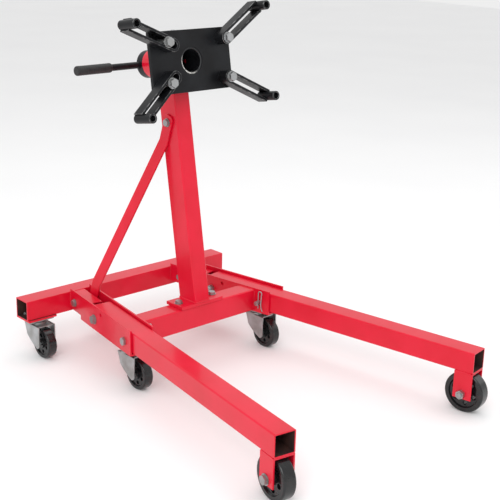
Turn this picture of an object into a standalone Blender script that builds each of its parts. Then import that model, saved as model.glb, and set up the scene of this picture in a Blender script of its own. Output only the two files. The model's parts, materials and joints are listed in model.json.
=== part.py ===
"""Folding engine stand: a welded base on six wheels, a leaning post and a turning head with four slotted arms.

Metres, +Z up. The stand faces -Y, its own right is +X, and the origin is on the floor under its middle.
"""

import math

import bmesh
import bpy
from mathutils import Matrix, Vector

# ---- Driving sizes ------------------------------------------------------------------------------------------
GAP = 0.0003                # between pieces that touch
FIT = 0.0003                # round a pin or bolt in its hole

TUBE = 0.050                # square tube of the beam and legs
TUBE_WALL = 0.003
BEAM_LENGTH = 0.626
BEAM_BOTTOM = 0.099

SPLAY = math.radians(9.1)   # each leg runs outwards to the front
LEG_ROOT_X = 0.1586         # leg axis at the beam's front face
LEG_REACH = 0.8947          # beam's front face to the leg's front end, along the leg
LEG_BOTTOM = 0.101
LEG_HEEL = 0.020            # pivot to the leg's rear end
LOCK_SLACK = 0.0045         # lock hole's relief, so that a pulled pin lets the leg fold

FLANGE = 0.004              # channel's bent plate
CHANNEL_SIDE_GAP = 0.001
CHANNEL_BOTTOM = 0.095
CHANNEL_TOP = 0.157
CHANNEL_REACH = 0.3287
CHANNEL_STEP = 0.0637       # shallower behind this
CHANNEL_STEP_HEIGHT = 0.014
PIVOT_REACH = 0.1413
PIVOT_Z = 0.122
LOCK_REACH = 0.2987
STORE_HOLE_REACH = 0.176
STORE_HOLE_Z = 0.144
STORE_HOLE_RADIUS = 0.005
STUB_BOLT_REACH = 0.032
STUB_REACH = 0.102
STUB_BOLT_Z = 0.128
STUB_DROP = 0.002           # stub lower than the beam's tube

CROSS_DEPTH = 0.050
CROSS_HEIGHT = 0.056
CROSS_BOTTOM = 0.098
CROSS_REACH = 0.260         # beam's front face to the cross beam's middle

BASE_WIDTH = 0.128
BASE_DEPTH = 0.060
BASE_THICK = 0.008
BASE_BOLT_X = 0.052

POST_LEAN = math.radians(9.7)
POST_WIDTH = 0.045
POST_DEPTH = 0.060
POST_WALL = 0.003
POST_REACH = 0.258          # beam's front face to the post's axis at the cross beam's top
HEAD_RISE = 0.577           # along the post, from the cross beam's top to the head's axis

BRACE_WIDTH = 0.030
BRACE_THICK = 0.005
BRACE_DROP = 0.138          # along the post, from the head's axis down to the brace's bolt
BRACE_TAB = 0.050
BRACE_END = 0.018           # bolt to the bar's end
BRACE_CORNER = 0.012        # square that trims each corner

PLATE_WIDTH = 0.232
PLATE_HEIGHT = 0.141
PLATE_THICK = 0.010
PLATE_FRONT = 0.080         # post's axis to the plate's front face
HEAD_PLAY = 0.002           # plate to head tube
SPINDLE_RADIUS = 0.030
SPINDLE_WALL = 0.003
SPINDLE_SET_BACK = 0.002    # plate's front face to the spindle's end
HEAD_TUBE_WALL = 0.0036
HEAD_TUBE_LENGTH = 0.134
HEAD_CLEARANCE = 0.0004
COLLAR_RADIUS = 0.033
COLLAR_SEAT = 0.004         # spindle's end inside the collar
COLLAR_LENGTH = 0.023
INDEX_PIN_RADIUS = 0.005
INDEX_PIN_BACK = 0.060      # behind the plate's front face
INDEX_BOSS_HEIGHT = 0.018
INDEX_BOSS_RADIUS = 0.011
INDEX_PULL = 0.004          # radius of the pin's cross handle
INDEX_HOLES = 8

HANDLE_RADIUS = 0.008
HANDLE_OUT = 0.210          # head's axis to the grip's outer end
HANDLE_GRIP = 0.095
GRIP_RADIUS = 0.0112
HANDLE_STOP_GAP = 0.008
HANDLE_STOP = 0.008
HANDLE_STOP_EDGE = 0.003
GRIP_CAP = 0.004

ARM_LENGTH = 0.126          # slot's inner end to the sleeve's axis
ARM_WIDTH = 0.030
ARM_DEPTH = 0.030
ARM_BOLT_RADIUS = 0.008
ARM_BOLT_HEAD = 0.0108
ARM_SLOT_PLAY = 0.0005
SLOT_END_WALL = 0.003       # slot's outer end to the sleeve
SLEEVE_RADIUS = 0.011
SLEEVE_BORE = 0.0072
SLEEVE_LENGTH = 0.057
ARM_BOLT_X = 0.087
ARM_BOLT_Z = 0.045
ARMS = {                    # side, level, angle from +X seen from the front, how far it is slid in
    "arm_upper_left": (-1, 1, math.radians(156), 0.018),
    "arm_upper_right": (1, 1, math.radians(32), 0.0),
    "arm_lower_right": (1, -1, math.radians(-26), 0.0),
    "arm_lower_left": (-1, -1, math.radians(220), 0.018),
}

FRONT_RADIUS = 0.0475
FRONT_WIDTH = 0.030
FRONT_INSET = 0.0237        # leg's front end to the axle
FORK_PLATE = 0.0035
FORK_LENGTH = 0.045
FORK_DROP = 0.0115          # ears below the axle
AXLE_RADIUS = 0.006

CASTER_RADIUS = 0.0375
CASTER_WIDTH = 0.024
CASTER_HEIGHT = 0.095
CASTER_TRAIL = 0.034
CASTER_PLATE = 0.003
CASTER_PLATE_SIZE = (0.064, 0.054)
CASTER_BOLT_SPACING = (0.046, 0.030)
CASTER_BOLT_RADIUS = 0.003
CASTER_AXLE_RADIUS = 0.004
CASTER_RACE = 0.004         # depth of the fixed race under the plate
CASTER_RACE_RADIUS = 0.022
CASTER_CROWN = 0.0075       # depth of the turning crown
CASTER_CROWN_RADIUS = 0.024
CASTER_NOSE = 0.019         # kingpin to the fork's front edge
CASTER_EAR = 0.010          # round end at the axle
KINGPIN_RADIUS = 0.005
REAR_CASTER_X = 0.272
REAR_PAD_SIZE = (0.078, 0.058)
MID_CASTER_REACH = 0.2714

PIVOT_RADIUS = 0.006
LOCK_RADIUS = 0.006
LOCK_TAIL = 0.013           # pin's end past the channel
LOCK_TAIL_GAP = 0.003       # channel to the clip's wire
SMALL_BOLT_RADIUS = 0.005
CLIP_WIRE = 0.0014
CLIP_TAIL = 0.014           # straight leg below the pin
CLIP_LOOP = 0.0055
TREAD = 0.08                # corner cut off a wheel's edge, over its radius
OVERCUT = 0.01              # a cutter runs this far past the face it cuts
HOLE_HALF = 0.05            # half the length of a cutter straight across a leg

# ---- Values that follow -------------------------------------------------------------------------------------
BEAM_TOP = BEAM_BOTTOM + TUBE
LEG_TOP = LEG_BOTTOM + TUBE
CROSS_TOP = CROSS_BOTTOM + CROSS_HEIGHT
BASE_TOP = CROSS_TOP + GAP + BASE_THICK
FLANGE_INNER = TUBE / 2 + CHANNEL_SIDE_GAP
FLANGE_OUTER = FLANGE_INNER + FLANGE
FRONT_REACH = LEG_REACH - FRONT_INSET
FORK_GAP = TUBE - 2 * FORK_PLATE
BRACE_TOP_RISE = HEAD_RISE - BRACE_DROP


def forward_reach(radius, width):
    """How far a wheel's edge reaches forward of its axle when its plane is splayed."""
    edge = TREAD * radius
    corners = [(width / 2, radius - edge), (width / 2 - edge, radius)]
    return max(r * math.cos(SPLAY) + half * math.sin(SPLAY) for half, r in corners)


STAND_FRONT = FRONT_REACH * math.cos(SPLAY) + forward_reach(FRONT_RADIUS, FRONT_WIDTH)
STAND_REAR = TUBE / 2 + REAR_PAD_SIZE[1] / 2
BEAM_Y = (STAND_FRONT - STAND_REAR) / 2          # puts the middle of the whole stand over the origin

RED = ((0.62, 0.012, 0.022, 1), 0.32, 0.0)
BLACK = ((0.012, 0.012, 0.014, 1), 0.38, 0.0)
RUBBER = ((0.016, 0.016, 0.018, 1), 0.55, 0.0)
ZINC = ((0.62, 0.62, 0.60, 1), 0.34, 0.9)

# ---- Helpers ------------------------------------------------------------------------------------------------
for old in list(bpy.data.objects):
    bpy.data.objects.remove(old)
parts = bpy.data.collections.new("engine_stand")
cutters = bpy.data.collections.new("cutters")
for collection in (parts, cutters):
    bpy.context.scene.collection.children.link(collection)


def material(name, finish):
    """A Principled material of its own for one part."""
    colour, roughness, metallic = finish
    made = bpy.data.materials.new(name)
    made.use_nodes = True
    shader = made.node_tree.nodes["Principled BSDF"]
    shader.inputs["Base Color"].default_value = colour
    shader.inputs["Roughness"].default_value = roughness
    shader.inputs["Metallic"].default_value = metallic
    made.diffuse_color = colour
    return made


def block(size, centre=(0, 0, 0), turn=None):
    """A box primitive."""
    def add(bm):
        place = Matrix.Translation(centre) @ (turn or Matrix()) @ Matrix.Diagonal((*size, 1))
        bmesh.ops.create_cube(bm, size=1, matrix=place)
    return add


def rod(radius, start, end, sides=16):
    """A round bar from start to end; six sides make a hexagon."""
    def add(bm):
        low, high = Vector(start), Vector(end)
        way = high - low
        turn = way.to_track_quat("Z", "Y").to_matrix().to_4x4()
        place = Matrix.Translation((low + high) / 2) @ turn
        bmesh.ops.create_cone(bm, cap_ends=True, segments=sides, radius1=radius, radius2=radius,
                              depth=way.length, matrix=place)
    return add


def cross_hole(radius, reach, z, sides=16):
    """The cutter of a hole straight across a leg's line."""
    return rod(radius, (-HOLE_HALF, -reach, z), (HOLE_HALF, -reach, z), sides)


def outline(points, thick, place=None):
    """A flat outline, thick along its own Z, made from a filled 2D curve."""
    def add(bm):
        curve = bpy.data.curves.new("outline", "CURVE")
        curve.dimensions = "2D"
        curve.fill_mode = "BOTH"
        curve.extrude = thick / 2
        spline = curve.splines.new("POLY")
        spline.points.add(len(points) - 1)
        for point, (x, y) in zip(spline.points, points):
            point.co = (x, y, 0, 1)
        spline.use_cyclic_u = True
        add_curve(bm, curve, place)
    return add


def wire(points, radius, rounds=1):
    """A bent wire with filled ends."""
    def add(bm):
        curve = bpy.data.curves.new("wire", "CURVE")
        curve.dimensions = "3D"
        curve.bevel_depth = radius
        curve.bevel_resolution = rounds
        curve.use_fill_caps = True
        spline = curve.splines.new("POLY")
        spline.points.add(len(points) - 1)
        for point, co in zip(spline.points, points):
            point.co = (*co, 1)
        add_curve(bm, curve, None)
    return add


def add_curve(bm, curve, place):
    """Turns a curve into mesh, welds its caps and adds it to bm."""
    holder = bpy.data.objects.new("curve", curve)
    bpy.context.scene.collection.objects.link(holder)
    depsgraph = bpy.context.evaluated_depsgraph_get()
    mesh = bpy.data.meshes.new_from_object(holder.evaluated_get(depsgraph))
    made = bmesh.new()
    made.from_mesh(mesh)
    bmesh.ops.remove_doubles(made, verts=made.verts, dist=0.00001)
    bmesh.ops.transform(made, matrix=place or Matrix(), verts=made.verts)
    bmesh.ops.recalc_face_normals(made, faces=made.faces)
    made.to_mesh(mesh)
    made.free()
    bm.from_mesh(mesh)
    bpy.data.objects.remove(holder)
    bpy.data.meshes.remove(mesh)
    bpy.data.curves.remove(curve)


def mesh_object(name, shapes, collection, parent, place):
    """One object from a list of separate shapes."""
    bm = bmesh.new()
    for shape in shapes:
        shape(bm)
    mesh = bpy.data.meshes.new(name)
    bm.to_mesh(mesh)
    bm.free()
    made = bpy.data.objects.new(name, mesh)
    collection.objects.link(made)
    set_place(made, parent, place)
    return made


def set_place(made, parent, place):
    """Parents an object and puts it at a world matrix."""
    if parent:
        made.parent = parent
        made.matrix_parent_inverse = parent.matrix_world.inverted()
    made.matrix_world = place


def join(made, shapes, operation, place):
    """One Boolean on a part, with its operand in the cutters' collection."""
    operand = mesh_object(made.name + "_" + operation.lower(), shapes, cutters, None, place)
    operand.hide_render = True
    operand.display_type = "WIRE"
    operand.parent = made
    operand.matrix_parent_inverse = made.matrix_world.inverted()
    change = made.modifiers.new(operation.title(), "BOOLEAN")
    change.operation = operation
    change.solver = "EXACT"
    change.object = operand


def finish_part(made, finish):
    """Gives a part its material and its smooth shading."""
    made.data.materials.append(material(made.name, finish))
    made.data.shade_smooth()
    made.data.set_sharp_from_angle(angle=math.radians(30))
    return made


def part(name, finish, shapes, add=(), cut=(), parent=None, place=Matrix()):
    """A sub-part: shapes, then each list in add is fused on, then each list in cut is taken away."""
    made = mesh_object(name, shapes, parts, parent, place)
    for extra in add:
        join(made, extra, "UNION", place)
    for hole in cut:
        join(made, hole, "DIFFERENCE", place)
    return finish_part(made, finish)


def turned(name, finish, profile, steps, cut=(), parent=None, place=Matrix()):
    """A closed profile of (along, radius) points turned about its own X axis, a flat facet at the bottom."""
    mesh = bpy.data.meshes.new(name)
    spread = 1 / math.cos(math.pi / steps)
    first = Matrix.Rotation(math.pi / steps, 4, "Z")
    corners = [first @ Vector((radius * spread, 0, -along)) for along, radius in profile]
    count = len(corners)
    mesh.from_pydata(corners, [(i, (i + 1) % count) for i in range(count)], [])
    made = bpy.data.objects.new(name, mesh)
    parts.objects.link(made)
    stand_up = Matrix.Rotation(-math.pi / 2, 4, "Y")
    set_place(made, parent, place @ stand_up)
    screw = made.modifiers.new("Turn", "SCREW")
    screw.angle = 2 * math.pi
    screw.steps = steps
    screw.render_steps = steps
    screw.use_merge_vertices = True
    screw.merge_threshold = 0.0001
    screw.use_normal_calculate = True
    for hole in cut:
        join(made, hole, "DIFFERENCE", place)
    return finish_part(made, finish)


def pivot(name, place, parent=None):
    """An empty on a joint's axis."""
    empty = bpy.data.objects.new(name, None)
    empty.empty_display_size = 0.02
    parts.objects.link(empty)
    set_place(empty, parent, place)
    bpy.context.view_layer.update()
    return empty


def bolt(name, start, way, radius, grip, head=None, washer=True, parent=None, place=Matrix()):
    """A hex bolt, washer and nut: start is where the head seats, way the unit direction into the work."""
    head_radius = head or 1.75 * radius
    seat, into = Vector(start), Vector(way)
    thick = 0.0016 if washer else 0.0
    out = seat - into * (thick + 1.1 * radius)
    far = seat + into * grip
    add = [[rod(radius, out + into * 0.5 * radius, far + into * 2.2 * radius, 10)],
           [rod(head_radius, far, far + into * 1.5 * radius, 6)]]
    if washer:
        add.append([rod(head_radius * 1.15, seat - into * (thick + GAP), seat, 12)])
    head_shape = rod(head_radius, out, seat - into * thick, 6)
    return part(name, ZINC, [head_shape], add=add, parent=parent, place=place)


def square_tube(size_x, size_z, wall, length, centre):
    """Outer and inner boxes of a rectangular tube along Y."""
    outer = block((size_x, length, size_z), centre)
    inner = block((size_x - 2 * wall, length + 2 * OVERCUT, size_z - 2 * wall), centre)
    return outer, inner


def arc(centre, radius, start, stop, steps):
    """Points on an arc, angles in radians."""
    cx, cy = centre
    return [(cx + radius * math.cos(start + (stop - start) * i / steps),
             cy + radius * math.sin(start + (stop - start) * i / steps)) for i in range(steps + 1)]


def leg_frame(side):
    """World matrix of a leg: origin where its axis meets the beam's face on the floor, -Y along the leg."""
    return Matrix.Translation((side * LEG_ROOT_X, BEAM_Y, 0)) @ Matrix.Rotation(side * SPLAY, 4, "Z")


SIDES = {"left": -1, "right": 1}
stand = pivot("engine_stand_origin", Matrix())
beam_frame = Matrix.Translation((0, BEAM_Y, 0))

# ---- Rear beam, cross beam and base plate -------------------------------------------------------------------
beam_mid = (0, TUBE / 2, BEAM_BOTTOM + TUBE / 2)
pad_holes = []
for side in SIDES.values():
    for dx in (-1, 1):
        for dy in (-1, 1):
            x = side * REAR_CASTER_X + dx * CASTER_BOLT_SPACING[0] / 2
            y = TUBE / 2 + dy * CASTER_BOLT_SPACING[1] / 2
            pad_holes.append(rod(CASTER_BOLT_RADIUS + FIT, (x, y, CASTER_HEIGHT - OVERCUT),
                                 (x, y, BEAM_BOTTOM + TUBE_WALL + OVERCUT), 10))
pad_low = CASTER_HEIGHT + GAP
pad_top = BEAM_BOTTOM + TUBE_WALL / 2
pads = [block((*REAR_PAD_SIZE, pad_top - pad_low), (side * REAR_CASTER_X, TUBE / 2, (pad_top + pad_low) / 2))
        for side in SIDES.values()]
beam_room = block((BEAM_LENGTH + 2 * OVERCUT, TUBE - 2 * TUBE_WALL, TUBE - 2 * TUBE_WALL), beam_mid)
part("rear_beam", RED, [block((BEAM_LENGTH, TUBE, TUBE), beam_mid)], add=[pads], cut=[[beam_room], pad_holes],
     parent=stand, place=beam_frame)

cross_mid = (0, -CROSS_REACH, CROSS_BOTTOM + CROSS_HEIGHT / 2)
channel_room = []
for side in SIDES.values():
    local = beam_frame.inverted() @ leg_frame(side)
    centre = local @ Vector((0, -LEG_REACH / 2, cross_mid[2]))
    channel_room.append([block((2 * (FLANGE_OUTER + GAP), 2 * LEG_REACH, 0.2), centre,
                               Matrix.Rotation(side * SPLAY, 4, "Z"))])
cross_half = LEG_ROOT_X + CROSS_REACH * math.tan(SPLAY)
cross_room = block((2 * (cross_half + OVERCUT), CROSS_DEPTH - 2 * TUBE_WALL, CROSS_HEIGHT - 2 * TUBE_WALL),
                   cross_mid)
base_holes = [rod(SMALL_BOLT_RADIUS + FIT, (side * BASE_BOLT_X, -CROSS_REACH, CROSS_TOP - TUBE_WALL - OVERCUT),
                  (side * BASE_BOLT_X, -CROSS_REACH, BASE_TOP + OVERCUT), 12) for side in SIDES.values()]
part("cross_beam", RED, [block((2 * cross_half, CROSS_DEPTH, CROSS_HEIGHT), cross_mid)],
     cut=[[cross_room], *channel_room, base_holes], parent=stand, place=beam_frame)
part("base_plate", RED, [block((BASE_WIDTH, BASE_DEPTH, BASE_THICK),
                               (0, -POST_REACH, BASE_TOP - BASE_THICK / 2))],
     cut=[base_holes], parent=stand, place=beam_frame)
for name, side in SIDES.items():
    bolt("base_bolt_" + name, (side * BASE_BOLT_X, -CROSS_REACH, BASE_TOP + GAP), (0, 0, -1), SMALL_BOLT_RADIUS,
         BASE_THICK + TUBE_WALL + 3 * GAP, parent=stand, place=beam_frame)

# ---- Post and braces ----------------------------------------------------------------------------------------
post_frame = beam_frame @ Matrix.Translation((0, -POST_REACH, CROSS_TOP)) @ Matrix.Rotation(-POST_LEAN, 4, "X")
head_frame = post_frame @ Matrix.Translation((0, 0, HEAD_RISE))
HEAD_TUBE_RADIUS = SPINDLE_RADIUS + HEAD_CLEARANCE + HEAD_TUBE_WALL
post_top = HEAD_RISE - HEAD_TUBE_RADIUS / 2
post_foot = POST_DEPTH * math.tan(POST_LEAN)
post_mid = (0, 0, (post_top - post_foot) / 2)
post_room = block((POST_WIDTH - 2 * POST_WALL, POST_DEPTH - 2 * POST_WALL, post_top + post_foot + 4 * OVERCUT),
                  post_mid)
post_bolt_hole = rod(SMALL_BOLT_RADIUS + FIT, (-POST_WIDTH, 0, BRACE_TOP_RISE), (POST_WIDTH, 0, BRACE_TOP_RISE), 12)
below = 2 * POST_DEPTH
level_cut = post_frame.inverted() @ Vector((0, post_frame.translation.y, BASE_TOP + GAP - below / 2))
part("post", RED, [block((POST_WIDTH, POST_DEPTH, post_top + post_foot), post_mid)],
     cut=[[post_room],
          [block((2 * POST_WIDTH, 2 * POST_DEPTH, below), level_cut, Matrix.Rotation(POST_LEAN, 4, "X"))],
          [rod(HEAD_TUBE_RADIUS + GAP, (0, -POST_DEPTH, HEAD_RISE), (0, POST_DEPTH, HEAD_RISE), 32)],
          [post_bolt_hole]], parent=stand, place=post_frame)

brace_low = Vector((0, -STUB_BOLT_REACH * math.cos(SPLAY) - FLANGE_INNER * math.sin(SPLAY), STUB_BOLT_Z))
brace_high = beam_frame.inverted() @ post_frame @ Vector((0, 0, BRACE_TOP_RISE))
rise = Vector((0, brace_high.y - brace_low.y, brace_high.z - brace_low.z))
brace_span = rise.length
brace_tilt = math.atan2(-rise.y, rise.z)
brace_top_x = POST_WIDTH / 2 + GAP + BRACE_THICK / 2
stub_axis_x = LEG_ROOT_X + STUB_BOLT_REACH * math.sin(SPLAY)
# the tab lies square to X between a splayed flange and the stub, so its far corners need room
tab_reach = BRACE_WIDTH / 2 / math.cos(brace_tilt) + (CHANNEL_TOP - STUB_BOLT_Z) * math.tan(brace_tilt)
tab_room = BRACE_THICK / 2 / math.cos(SPLAY) + tab_reach * math.tan(SPLAY) + GAP
BRACE_SEAT = FLANGE_INNER - tab_room
brace_low_x = stub_axis_x - BRACE_SEAT * math.cos(SPLAY)
# outline lies in the X and rising directions, thick along the bar's width
brace_turn = Matrix.Rotation(brace_tilt, 4, "X")
brace_place = Matrix.Translation(brace_low) @ brace_turn @ Matrix.Rotation(math.pi / 2, 4, "X")
bend = math.atan2(brace_low_x - brace_top_x, brace_span - 2 * BRACE_TAB)
shift = BRACE_THICK / 2 / math.cos(bend / 2)
brace_run = [(brace_low_x, -BRACE_END), (brace_low_x, BRACE_TAB),
             (brace_top_x, brace_span - BRACE_TAB), (brace_top_x, brace_span + BRACE_END)]
for name, side in SIDES.items():
    edge = [(side * (x + shift), z) for x, z in brace_run]
    edge += [(side * (x - shift), z) for x, z in reversed(brace_run)]
    corners = []
    for end_z, x in ((brace_span + BRACE_END, brace_top_x), (-BRACE_END, brace_low_x)):
        ends = [Vector((side * x, way * (BRACE_WIDTH / 2 + 0.15 * BRACE_CORNER), end_z)) for way in (-1, 1)]
        corners.append([block((4 * BRACE_THICK, BRACE_CORNER, BRACE_CORNER), brace_turn @ end + brace_low,
                              brace_turn @ Matrix.Rotation(math.pi / 4, 4, "X")) for end in ends])
    bolt_way = Vector((side * math.cos(SPLAY), math.sin(SPLAY), 0))
    bolt_at = Vector((side * stub_axis_x, -STUB_BOLT_REACH * math.cos(SPLAY), STUB_BOLT_Z))
    low_at = bolt_at - bolt_way * BRACE_SEAT
    top_at = brace_high + Vector((side * brace_top_x, 0, 0))
    holes = [[rod(SMALL_BOLT_RADIUS + FIT, middle - way * BRACE_WIDTH, middle + way * BRACE_WIDTH, 12)]
             for middle, way in ((low_at, bolt_way), (top_at, Vector((1, 0, 0))))]
    part("brace_" + name, RED, [outline(edge, BRACE_WIDTH, brace_place)], cut=holes + corners,
         parent=stand, place=beam_frame)
brace_bolt_seat = brace_top_x + BRACE_THICK / 2 + GAP
bolt("brace_bolt", (-brace_bolt_seat, 0, BRACE_TOP_RISE), (1, 0, 0), SMALL_BOLT_RADIUS, 2 * brace_bolt_seat,
     parent=stand, place=post_frame)

# ---- Channels, stubs, pivots and lock pins ------------------------------------------------------------------
for name, side in SIDES.items():
    frame = leg_frame(side)
    behind = frame.inverted() @ Vector((side * LEG_ROOT_X, BEAM_Y + LEG_REACH / 2 - GAP, 0))
    to_beam = block((LEG_REACH, LEG_REACH, LEG_REACH), behind, Matrix.Rotation(-side * SPLAY, 4, "Z"))
    length = CHANNEL_REACH + TUBE
    mid_y = (TUBE - CHANNEL_REACH) / 2
    height = CHANNEL_TOP - CHANNEL_BOTTOM
    mid_z = (CHANNEL_TOP + CHANNEL_BOTTOM) / 2
    stub_hole = cross_hole(SMALL_BOLT_RADIUS + FIT, STUB_BOLT_REACH, STUB_BOLT_Z, 12)
    pin_holes = [cross_hole(PIVOT_RADIUS + FIT, PIVOT_REACH, PIVOT_Z),
                 cross_hole(LOCK_RADIUS + FIT, LOCK_REACH, PIVOT_Z), stub_hole,
                 cross_hole(STORE_HOLE_RADIUS, STORE_HOLE_REACH, STORE_HOLE_Z, 12)]
    step_size = 4 * TUBE
    step = block((step_size, step_size, step_size),
                 (0, step_size / 2 - CHANNEL_STEP, CHANNEL_BOTTOM + CHANNEL_STEP_HEIGHT - step_size / 2))
    caster_holes = []
    for dx in (-1, 1):
        for dy in (-1, 1):
            x, y = dx * CASTER_BOLT_SPACING[1] / 2, dy * CASTER_BOLT_SPACING[0] / 2 - MID_CASTER_REACH
            caster_holes.append(rod(CASTER_BOLT_RADIUS + FIT, (x, y, CASTER_HEIGHT - OVERCUT),
                                    (x, y, CHANNEL_BOTTOM + FLANGE + OVERCUT), 10))
    part("channel_" + name, RED, [block((2 * FLANGE_OUTER, length, height), (0, mid_y, mid_z))],
         cut=[[block((2 * FLANGE_INNER, length + 2 * OVERCUT, height), (0, mid_y, mid_z + FLANGE))],
              [to_beam], [step], pin_holes, caster_holes], parent=stand, place=frame)
    stub_side = BRACE_SEAT - tab_room
    stub_width = FLANGE_INNER - GAP + stub_side
    stub_mid = (side * (FLANGE_INNER - GAP - stub_width / 2), (TUBE - STUB_REACH) / 2, BEAM_BOTTOM + TUBE / 2)
    outer, inner = square_tube(stub_width, TUBE - STUB_DROP, TUBE_WALL, STUB_REACH + TUBE, stub_mid)
    part("stub_" + name, RED, [outer], cut=[[inner], [to_beam], [stub_hole]], parent=stand, place=frame)
    seat = FLANGE_OUTER + GAP
    bolt("stub_bolt_" + name, (side * seat, -STUB_BOLT_REACH, STUB_BOLT_Z), (-side, 0, 0), SMALL_BOLT_RADIUS,
         2 * seat, parent=stand, place=frame)
    bolt("pivot_bolt_" + name, (side * seat, -PIVOT_REACH, PIVOT_Z), (-side, 0, 0), PIVOT_RADIUS, 2 * seat,
         parent=stand, place=frame)
    clip_x = -side * (seat + CLIP_WIRE + LOCK_TAIL_GAP)
    head_near, head_far, pin_end = side * seat, side * (seat + LOCK_RADIUS), -side * (seat + LOCK_TAIL)
    pin_start = (head_near + head_far) / 2
    part("lock_pin_" + name, ZINC,
         [rod(1.7 * LOCK_RADIUS, (head_far, -LOCK_REACH, PIVOT_Z), (head_near, -LOCK_REACH, PIVOT_Z), 6)],
         add=[[rod(LOCK_RADIUS, (pin_start, -LOCK_REACH, PIVOT_Z), (pin_end, -LOCK_REACH, PIVOT_Z))]],
         cut=[[rod(CLIP_WIRE + FIT, (clip_x, -LOCK_REACH, PIVOT_Z - 2 * LOCK_RADIUS),
                   (clip_x, -LOCK_REACH, PIVOT_Z + 2 * LOCK_RADIUS), 8)]],
         parent=stand, place=frame)

    # spring clip: straight leg through the pin, hairpin bend on top, sprung leg bowed round the pin
    clip_pivot = pivot("clip_origin_" + name, frame @ Matrix.Translation((clip_x, -LOCK_REACH, PIVOT_Z)), stand)
    bow = LOCK_RADIUS + CLIP_WIRE + 4 * GAP
    points = [(0, 0, -CLIP_TAIL), (0, 0, 0), (0, 0, 2 * LOCK_RADIUS), (0, 0, CLIP_TAIL + LOCK_RADIUS)]
    for i in range(9):
        angle = math.pi * (1 - 1.25 * i / 8)
        points.append((0, -CLIP_LOOP * (1 + math.cos(angle)),
                       CLIP_TAIL + 2 * LOCK_RADIUS + CLIP_LOOP * math.sin(angle)))
    points += [(0, -bow - 0.001, 0.012), (0, -bow, 0.006), (0, -bow, -0.006), (0, -bow - 0.0014, -0.012),
               (0, -bow - 0.005, -0.020)]
    part("clip_" + name, ZINC, [wire(points, CLIP_WIRE)], parent=clip_pivot,
         place=frame @ Matrix.Translation((clip_x, -LOCK_REACH, PIVOT_Z)))

# ---- Folding legs, their forks and wheels -------------------------------------------------------------------


def wheel_section(radius, width, bore):
    """Closed half section of a wheel with a web, as (along the axle, radius) points."""
    half = width / 2
    edge = TREAD * radius
    rim, hub, web = 0.77 * radius, 0.30 * radius, 0.15 * width
    side_points = [(half - edge, radius), (half, radius - edge), (half, rim), (web, rim - 0.05 * radius),
                   (web, hub + 0.03 * radius), (half + 0.001, hub), (half + 0.001, bore)]
    return side_points + [(-along, r) for along, r in reversed(side_points)]


def web_holes(radius, width, count):
    """Round holes through a wheel's web."""
    holes = []
    for i in range(count):
        angle = 2 * math.pi * (i + 0.3) / count
        y, z = 0.54 * radius * math.cos(angle), 0.54 * radius * math.sin(angle)
        holes.append(rod(0.125 * radius, (-width, y, z), (width, y, z), 8))
    return holes


for name, side in SIDES.items():
    frame = leg_frame(side)
    fold = pivot("leg_origin_" + name, frame @ Matrix.Translation((0, -PIVOT_REACH, PIVOT_Z)), stand)
    length = LEG_REACH - PIVOT_REACH + LEG_HEEL
    leg_mid = (0, -(LEG_REACH + PIVOT_REACH - LEG_HEEL) / 2, LEG_BOTTOM + TUBE / 2)
    outer, inner = square_tube(TUBE, TUBE, TUBE_WALL, length, leg_mid)
    # the heel's lower corner is rounded about the pivot
    heel = arc((0, 0), LEG_HEEL, 0, -math.pi / 2, 6) + [(0, -TUBE), (TUBE, -TUBE), (TUBE, 0)]
    across = Matrix.Translation((0, -PIVOT_REACH, PIVOT_Z)) @ Matrix.Rotation(math.pi / 2, 4, "Z") @ \
        Matrix.Rotation(math.pi / 2, 4, "X")
    slot_width = 2 * (LOCK_RADIUS + FIT) + LOCK_SLACK
    relief = block((4 * TUBE, slot_width, TUBE),
                   (0, slot_width / 2 - LOCK_REACH - LOCK_RADIUS - 2 * FIT, PIVOT_Z - TUBE / 2))
    part("leg_" + name, RED, [outer],
         cut=[[inner], [outline(heel, 4 * TUBE, across)],
              [cross_hole(PIVOT_RADIUS + FIT, PIVOT_REACH, PIVOT_Z)],
              [cross_hole(LOCK_RADIUS + 2 * FIT, LOCK_REACH, PIVOT_Z)], [relief]], parent=fold, place=frame)

    fork_top = LEG_BOTTOM - GAP
    fork_low = FRONT_RADIUS - FORK_DROP
    fork_height = fork_top - fork_low
    fork_mid = (0, -LEG_REACH + FORK_LENGTH / 2, (fork_top + fork_low) / 2)
    part("front_fork_" + name, RED, [block((TUBE, FORK_LENGTH, fork_height), fork_mid)],
         cut=[[block((FORK_GAP, FORK_LENGTH + 2 * OVERCUT, fork_height),
                     (0, fork_mid[1], fork_mid[2] - FORK_PLATE))],
              [cross_hole(AXLE_RADIUS + FIT, FRONT_REACH, FRONT_RADIUS)]],
         parent=fold, place=frame)
    seat = TUBE / 2 + GAP
    bolt("front_axle_" + name, (side * seat, -FRONT_REACH, FRONT_RADIUS), (-side, 0, 0), AXLE_RADIUS, 2 * seat,
         parent=fold, place=frame)
    spin_place = frame @ Matrix.Translation((0, -FRONT_REACH, FRONT_RADIUS))
    spin = pivot("front_wheel_origin_" + name, spin_place, fold)
    turned("front_wheel_" + name, RUBBER, wheel_section(FRONT_RADIUS, FRONT_WIDTH, AXLE_RADIUS + 2 * FIT), 28,
           cut=[web_holes(FRONT_RADIUS, FRONT_WIDTH, 6)], parent=spin, place=spin_place)

# ---- Swivel casters -----------------------------------------------------------------------------------------
CASTERS = {}
for name, side in SIDES.items():
    CASTERS["rear_" + name] = beam_frame @ Matrix.Translation((side * REAR_CASTER_X, TUBE / 2, 0))
    CASTERS["mid_" + name] = leg_frame(side) @ Matrix.Translation((0, -MID_CASTER_REACH, 0)) @ \
        Matrix.Rotation(math.pi / 2, 4, "Z")

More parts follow.
